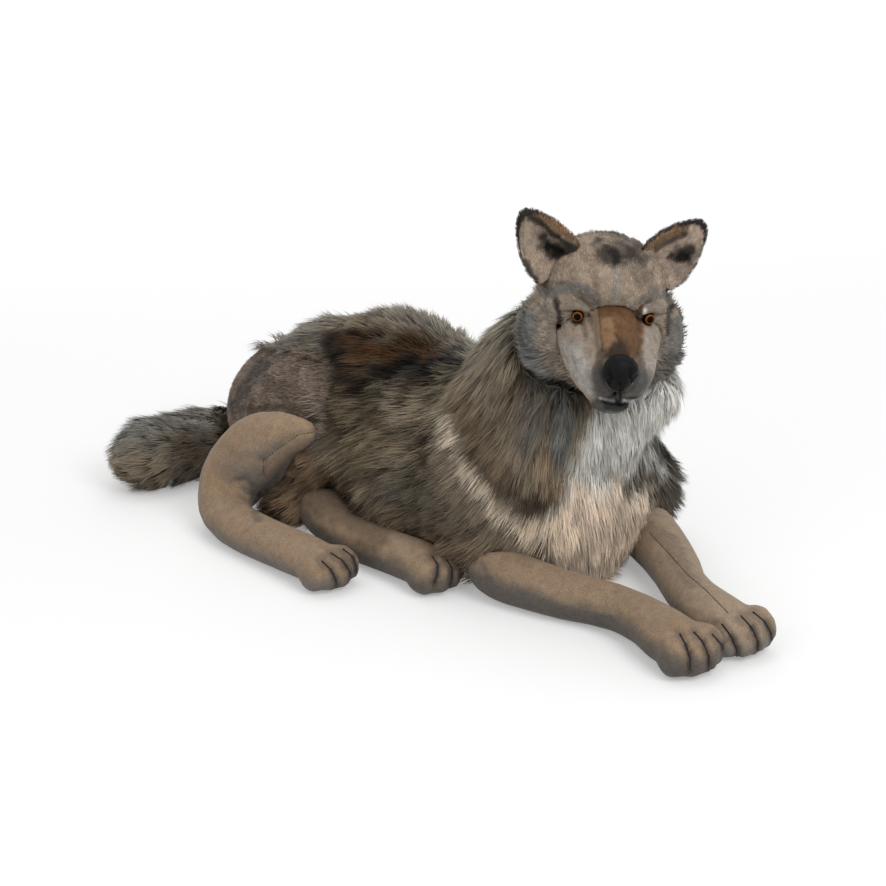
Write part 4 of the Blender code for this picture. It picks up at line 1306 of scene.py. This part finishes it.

# %% [markdown]
# ## Legs
# The legs are short velour, tan above. The grey-blue on the sides that turn down is partly
# airbrushed and partly painted shade, and each leg is painted lighter or darker as the light
# fell on it.
# Three black threads pull each paw in to make its toes, and the cloth creases at the hock,
# behind the knee and at the wrists.

# %% Marks on the legs, as pixels
TOE_LINES = {
    "right_foreleg": (
        [(680, 634), (686, 645), (690, 658), (690, 671)],
        [(694, 632), (703, 642), (709, 657), (709, 673)],
        [(712, 634), (722, 645), (725, 658), (724, 667)],
    ),
    "left_foreleg": (
        [(722, 624), (731, 636), (737, 650), (737, 657)],
        [(741, 616), (752, 628), (758, 642), (758, 651)],
        [(753, 612), (765, 622), (771, 633), (772, 641)],
    ),
    "right_hind_leg": (
        [(322, 561), (331, 570), (336, 580), (337, 588)],
        [(331, 553), (343, 561), (350, 572), (351, 581)],
        [(343, 549), (353, 557), (356, 567), (356, 573)],
    ),
    "left_hind_leg": (
        [(432, 556), (438, 565), (437, 576), (434, 584)],
        [(446, 559), (452, 568), (452, 578), (450, 586)],
        [(457, 565), (461, 573), (460, 580)],
    ),
}
LEG_CREASES = {
    "right_hind_leg": (
        ([(298, 464), (281, 481), (264, 499)], 15, 0.0085),
        ([(314, 431), (298, 434), (279, 447), (262, 461)], 4, 0.0022),
        ([(262, 460), (264, 470), (264, 478)], 4, 0.0032),
        ([(253, 487), (245, 480), (237, 482)], 5, 0.0034),
        ([(232, 474), (236, 482), (243, 484)], 6, 0.0014),
        ([(247, 515), (234, 527)], 9, 0.0014),
        ([(226, 440), (240, 452)], 9, -0.0012),
    ),
    "right_foreleg": (
        ([(595, 588), (602, 606)], 9, 0.0014),
        ([(612, 596), (618, 618)], 8, 0.0012),
        ([(480, 566), (488, 587)], 9, 0.0016),
        ([(650, 612), (656, 630)], 8, 0.0012),
    ),
    "left_foreleg": (
        ([(650, 533), (665, 549), (688, 575), (706, 590), (732, 617)], 2.2, 0.0008),
        ([(662, 565), (676, 559)], 8, 0.0014),
        ([(690, 600), (704, 594)], 8, 0.0014),
    ),
    "left_hind_leg": (
        ([(318, 500), (340, 505)], 8, 0.0018),
        ([(350, 513), (362, 532)], 8, 0.0016),
        ([(385, 543), (390, 562)], 8, 0.0012),
    ),
}
# Painted light and shade for each leg: how much lighter it is painted where lit, the range over
# which its sides that turn down are painted darker, and the colour of that painted shade.
LEG_LIGHT_AND_SHADE = {
    "right_foreleg": (0.0, (-0.62, 0.10), (0.098, 0.092, 0.084)),
    "left_foreleg": (0.5, (-0.42, 0.36), (0.200, 0.190, 0.172)),
    "right_hind_leg": (0.0, (-0.36, 0.42), (0.165, 0.150, 0.132)),
    "left_hind_leg": (0.0, (-0.60, 0.20), (0.108, 0.098, 0.086)),
}
LEG_MARKS = {
    "right_foreleg": (),
    "left_foreleg": (([(650, 527), (672, 545), (690, 580)], 9, (0.200, 0.150, 0.108), 0.6),),
    "right_hind_leg": (
        ([(314, 437), (296, 442), (280, 456), (268, 476)], 8, (0.240, 0.170, 0.112), 0.7),
        ([(254, 492), (257, 518)], 5, (0.110, 0.088, 0.070), 0.6),
    ),
    # The broad dark stroke along the left hind leg's top is painted shadow cast by the body.
    "left_hind_leg": (([(318, 498), (350, 510), (375, 530)], 18, (0.130, 0.089, 0.057), 0.7),),
}
SEAMS = {
    "left_foreleg": [(650, 533), (665, 549), (688, 575), (706, 590), (732, 617)],
    "right_hind_leg": [(314, 432), (298, 435), (279, 448), (263, 461), (264, 477)],
}
THREAD_STEPS = 6
WIDEST_STEP = 0.02
print("toe lines", sum(map(len, TOE_LINES.values())), "and seams", len(SEAMS))

# %% [markdown]
# First the creases and toe lines are pressed in. The pressed skin has new normals, so a
# second coat is made for the paint. Last, each thread's path of pixels is sent through the
# camera on to the skin, as points joined by edges.

# %% Press, paint and thread the legs
def threads_on(skin, lines, lift):
    """Polylines that follow lines of pixels on a skin, as one mesh of edges."""
    tree, places, edges = tree_of(skin.data), [], []
    for line in lines:
        start = len(places)
        for a, b in zip(line, line[1:]):
            for step in range(THREAD_STEPS):
                t = step / THREAD_STEPS
                pixel = (a[0] + (b[0] - a[0]) * t, a[1] + (b[1] - a[1]) * t)
                place, normal = tree.ray_cast(camera.location, ray_through(*pixel))[:2]
                if place is None:
                    continue
                if len(places) == start or (place - places[-1]).length < WIDEST_STEP:
                    places.append(place + normal * lift)
        edges += [(i, i + 1) for i in range(start, len(places) - 1)]
    mesh = bpy.data.meshes.new("threads")
    mesh.from_pydata(places, edges, [])
    return mesh


leg_threads = {}
for leg, skin in leg_skins.items():
    bare = Coat(skin, (0.300, 0.212, 0.138))
    bare.press(LEG_CREASES[leg])
    bare.press([(line, 5.0, 0.0026) for line in TOE_LINES[leg]])
    coat = Coat(skin, (0.300, 0.212, 0.138), (1.0, 1.0))
    upward = coat.normals[:, 2]
    spots = mottle(coat.points, 0.02, 6)
    coat.lay(ease(mottle(coat.points, 0.035, 8), 0.45, 0.8) * 0.3, (0.245, 0.155, 0.090))
    coat.lay(ease(mottle(coat.points, 0.012, 18), 0.5, 0.9) * 0.25, (0.34, 0.265, 0.185))
    # The lighter wash is painted light on the lit leg; the darkening of the sides that turn down is
    # partly airbrushed grey-blue and partly painted shade.
    bright, (shade_from, shade_to), shade = LEG_LIGHT_AND_SHADE[leg]
    coat.lay(np.full(len(spots), bright), (0.370, 0.290, 0.215))
    coat.lay(ease(-upward + (spots - 0.5) * 0.30, shade_from, shade_to) * 0.9, shade)
    coat.lay(ease(-coat.points[:, 2], -0.011, -0.004) * 0.6, (0.23, 0.22, 0.205))
    coat.mark(LEG_MARKS[leg], ragged=0.3 if leg == "left_hind_leg" else 0.7)
    # Painted shade in each toe groove: a broad darker band and a narrow dark line beside the
    # thread.
    for line in TOE_LINES[leg]:
        coat.mark([(line, 6.0, (0.135, 0.100, 0.075), 0.55)], ragged=0.4)
        coat.mark([(line[1:], 3.0, (0.045, 0.035, 0.030), 0.7)], ragged=0.3)
    coat.save()
    skin.data.materials.append(velour)
    leg_threads[leg] = threads_on(skin, TOE_LINES[leg], 0.0001)
    print(leg, "toe lines", len(TOE_LINES[leg]))

# %% [markdown]
# ## Threads
# A toe line is one thick thread. The seams on the left foreleg and the right thigh show as
# rows of small stitches. Two short trees make them: one sweeps a circle along the line, the
# other sets a small bead of thread at equal steps and turns it along the seam.

# %% Thread trees
def new_tree(name, sizes):
    tree = bpy.data.node_groups.new(name, "GeometryNodeTree")
    tree.interface.new_socket("Line", in_out="INPUT", socket_type="NodeSocketGeometry")
    for label, value in sizes:
        socket = tree.interface.new_socket(label, in_out="INPUT", socket_type="NodeSocketFloat")
        socket.default_value = value
    tree.interface.new_socket("Finish", in_out="INPUT", socket_type="NodeSocketMaterial")
    tree.interface.new_socket("Thread", in_out="OUTPUT", socket_type="NodeSocketGeometry")
    desk = Desk(tree)
    return desk, desk.add("NodeGroupInput").out


def build_cord_tree():
    desk, take = new_tree("toe_thread", (("Radius", 0.0011),))
    line = desk.add("GeometryNodeMeshToCurve", {}, {"Mesh": take("Line")})
    line = desk.add("GeometryNodeResampleCurve", {}, {"Curve": line, "Count": 20})
    ring = desk.add(
        "GeometryNodeCurvePrimitiveCircle", {"mode": "RADIUS"},
        {"Resolution": 8, "Radius": take("Radius")},
    )
    thread = desk.add(
        "GeometryNodeCurveToMesh", {}, {"Curve": line, "Profile Curve": ring, "Fill Caps": True}
    )
    thread = desk.add("GeometryNodeSetShadeSmooth", {}, {0: thread})
    return end_tree(desk, take, thread)


def build_stitch_tree():
    desk, take = new_tree("seam_stitches", (("Step", 0.0045), ("Radius", 0.0005)))
    line = desk.add("GeometryNodeMeshToCurve", {}, {"Mesh": take("Line")})
    line = desk.add(
        "GeometryNodeResampleCurve", {"mode": "LENGTH"}, {"Curve": line, "Length": take("Step")}
    )
    bead = desk.add(
        "GeometryNodeMeshUVSphere", {}, {"Segments": 6, "Rings": 5, "Radius": take("Radius")}
    )
    bead = desk.add("GeometryNodeTransform", {}, {"Geometry": bead, "Scale": (1.0, 1.0, 2.8)})
    along = desk.add("GeometryNodeInputTangent")
    turned = desk.add("FunctionNodeAlignRotationToVector", {"axis": "Z"}, {"Vector": along})
    row = desk.add(
        "GeometryNodeInstanceOnPoints", {}, {"Points": line, "Instance": bead, "Rotation": turned}
    )
    return end_tree(desk, take, row)


def end_tree(desk, take, thread):
    thread = desk.add("GeometryNodeRealizeInstances", {}, {"Geometry": thread})
    finished = {"Geometry": thread, "Material": take("Finish")}
    thread = desk.add("GeometryNodeSetMaterial", {}, finished)
    desk.add("NodeGroupOutput", {}, {"Thread": thread})
    return desk.tree


def thread_finish(name, dark, light):
    """Twisted thread, which changes from dark to light along its fine grain."""
    made, desk, surface = finish(name, 0.8, 0.2)
    feed(surface, "Base Color", desk.mix(desk.noise(2500.0, 2.0), (*dark, 1.0), (*light, 1.0)))
    return made


black_thread = thread_finish("black_thread", (0.006, 0.006, 0.006), (0.030, 0.028, 0.027))
tan_thread = thread_finish("tan_thread", (0.04, 0.028, 0.018), (0.10, 0.070, 0.045))
cord_tree, stitch_tree = build_cord_tree(), build_stitch_tree()
threads = [
    run_tree(leg + "_toe_threads", mesh, cord_tree, Finish=black_thread)
    for leg, mesh in leg_threads.items()
]
for leg, seam in SEAMS.items():
    line = threads_on(leg_skins[leg], [seam], 0.0)
    threads.append(run_tree(leg + "_seam", line, stitch_tree, Radius=0.0007, Finish=tan_thread))

# %% [markdown]
# ## Eyes and nose
# The eyes are moulded domes with a black pupil and an amber ring under a clear gloss.

# %% Eyes
EYE_RADIUS = 0.0070
EYE_RINGS = (
    (0.0, (0.0008, 0.0008, 0.0008)),
    (0.50, (0.0008, 0.0008, 0.0008)),
    (0.57, (0.09, 0.024, 0.003)),
    (0.70, (0.30, 0.092, 0.011)),
    (0.79, (0.13, 0.036, 0.005)),
    (0.87, (0.004, 0.003, 0.002)),
)


def eye_finish():
    made, desk, surface = finish("eye_gloss", 0.08, specular=0.05)
    ring = desk.add("ShaderNodeValToRGB", {}, {"Fac": desk.painted("gaze").out("Fac")})
    ramp = ring.socket.node.color_ramp
    while len(ramp.elements) < len(EYE_RINGS):
        ramp.elements.new(1.0)
    for element, (position, colour) in zip(ramp.elements, EYE_RINGS):
        element.position = position
        element.color = (*colour, 1.0)
    feed(surface, "Base Color", ring)
    return made


eye_gloss = eye_finish()
for side, sign in (("right", -1), ("left", 1)):
    shape = bmesh.new()
    bmesh.ops.create_uvsphere(shape, u_segments=40, v_segments=28, radius=EYE_RADIUS)
    mesh = bpy.data.meshes.new(side + "_eye_dome")
    shape.to_mesh(mesh)
    shape.free()
    points = points_of(mesh)
    off_axis = np.hypot(points[:, 0], points[:, 1]) / EYE_RADIUS
    off_axis[points[:, 2] < 0] = 1.0
    layer = mesh.attributes.new("gaze", "FLOAT", "POINT")
    layer.data.foreach_set("value", off_axis)
    outwards = math.radians(14.0) * sign
    look = head_axes @ Vector((math.sin(outwards), -math.cos(outwards), 0.02))
    turn_eye = look.to_track_quat("Z", "Y").to_matrix().to_4x4()
    squash = Matrix.Diagonal((1.0, 1.0, 0.72, 1.0))
    mesh.transform(Matrix.Translation(centre_of(side + "_eye")) @ turn_eye @ squash)
    mesh.shade_smooth()
    eye = add_object(side + "_eye_dome", mesh)
    mesh.materials.append(eye_gloss)
    print(eye.name, triangles_in(eye), "triangles")
    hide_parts(side + "_eye")
    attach(eye, "root")

# %% [markdown]
# The nose is a small padded cap of black imitation leather. Its nostrils and the groove below
# are stitched in, so they are pressed like the creases. The pebbled grain is far too fine for
# the mesh, so a cell pattern tilts the normals instead.

# %% Nose
NOSE_GROOVES = (
    [(609, 371), (611, 378), (608, 384)],
    [(631, 370), (630, 378), (633, 384)],
    [(620, 384), (620, 394)],
)
nose = draw_skin("nose_leather", ("nose",), voxel=0.0012, softening=3)
snout = Coat(nose, (0.01, 0.01, 0.01))
snout.press([(groove, 2.8, 0.0030) for groove in NOSE_GROOVES])
leather, desk, surface = finish("nose_leather", 0.5, specular=0.12)
pebbles = desk.add(
    "ShaderNodeTexVoronoi", {"feature": "DISTANCE_TO_EDGE"},
    {"Vector": desk.place(), "Scale": 900.0},
)
relief = desk.add(
    "ShaderNodeBump", {}, {"Strength": 0.35, "Distance": 0.0003, "Height": pebbles.lowest(0.12)}
)
feed(surface, "Normal", relief)
feed(surface, "Roughness", desk.noise(300.0, 2.0) * 0.2 + 0.42)
surface.inputs["Base Color"].default_value = (0.0025, 0.0025, 0.0025, 1.0)
nose.data.materials.append(leather)
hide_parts("nose")
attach(nose, "root")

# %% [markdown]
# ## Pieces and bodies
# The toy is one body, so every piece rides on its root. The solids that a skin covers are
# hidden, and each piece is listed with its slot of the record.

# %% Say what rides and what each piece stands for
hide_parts("torso", "rump", "neck_mane", "chest_bib")
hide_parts("tail")
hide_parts("head")
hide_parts(*mask_solids)
for leg, skin in leg_skins.items():
    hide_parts(leg, paw_soles[leg])
for side, skin in ear_skins.items():
    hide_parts(side + "_ear", side + "_ear_lining")

slots = {
    body_skin: "coat", saddle_fur: "coat", mane_fur: "mane_pile", bib_fur: "bib_pile",
    rump_fur: "rump_pile", tail_skin: "tail_pile", tail_fur: "tail_pile", head_skin: "face_pile",
    head_fur: "face_pile", nape_fur: "face_pile", loin_fur: "coat", mask_skin: "mask_velour",
    mask_nap: "mask_velour",
}
slots.update({skin: "leg_velour" for skin in leg_skins.values()})
slots.update({skin: "ear_back" for skin in ear_skins.values()})
slots.update({fur: "ear_back" for fur in ear_furs.values()})
slots.update({thread: "leg_velour" for thread in threads})
for piece, slot in slots.items():
    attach(piece, "root")
print("pieces with a slot", len(slots) + 3)

# %% [markdown]
# ## Size
# The bounds are measured again with the fur on and printed, with the number of triangles
# that the scene adds.

# %% Measure and finish
low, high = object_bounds()
print("visual size", [round(c, 3) for c in high - low])
total = 0
for piece in bpy.context.scene.objects:
    if piece.type == "MESH" and piece not in nodes.values() and piece is not floor:
        total += triangles_in(piece)
print("added triangles", total)
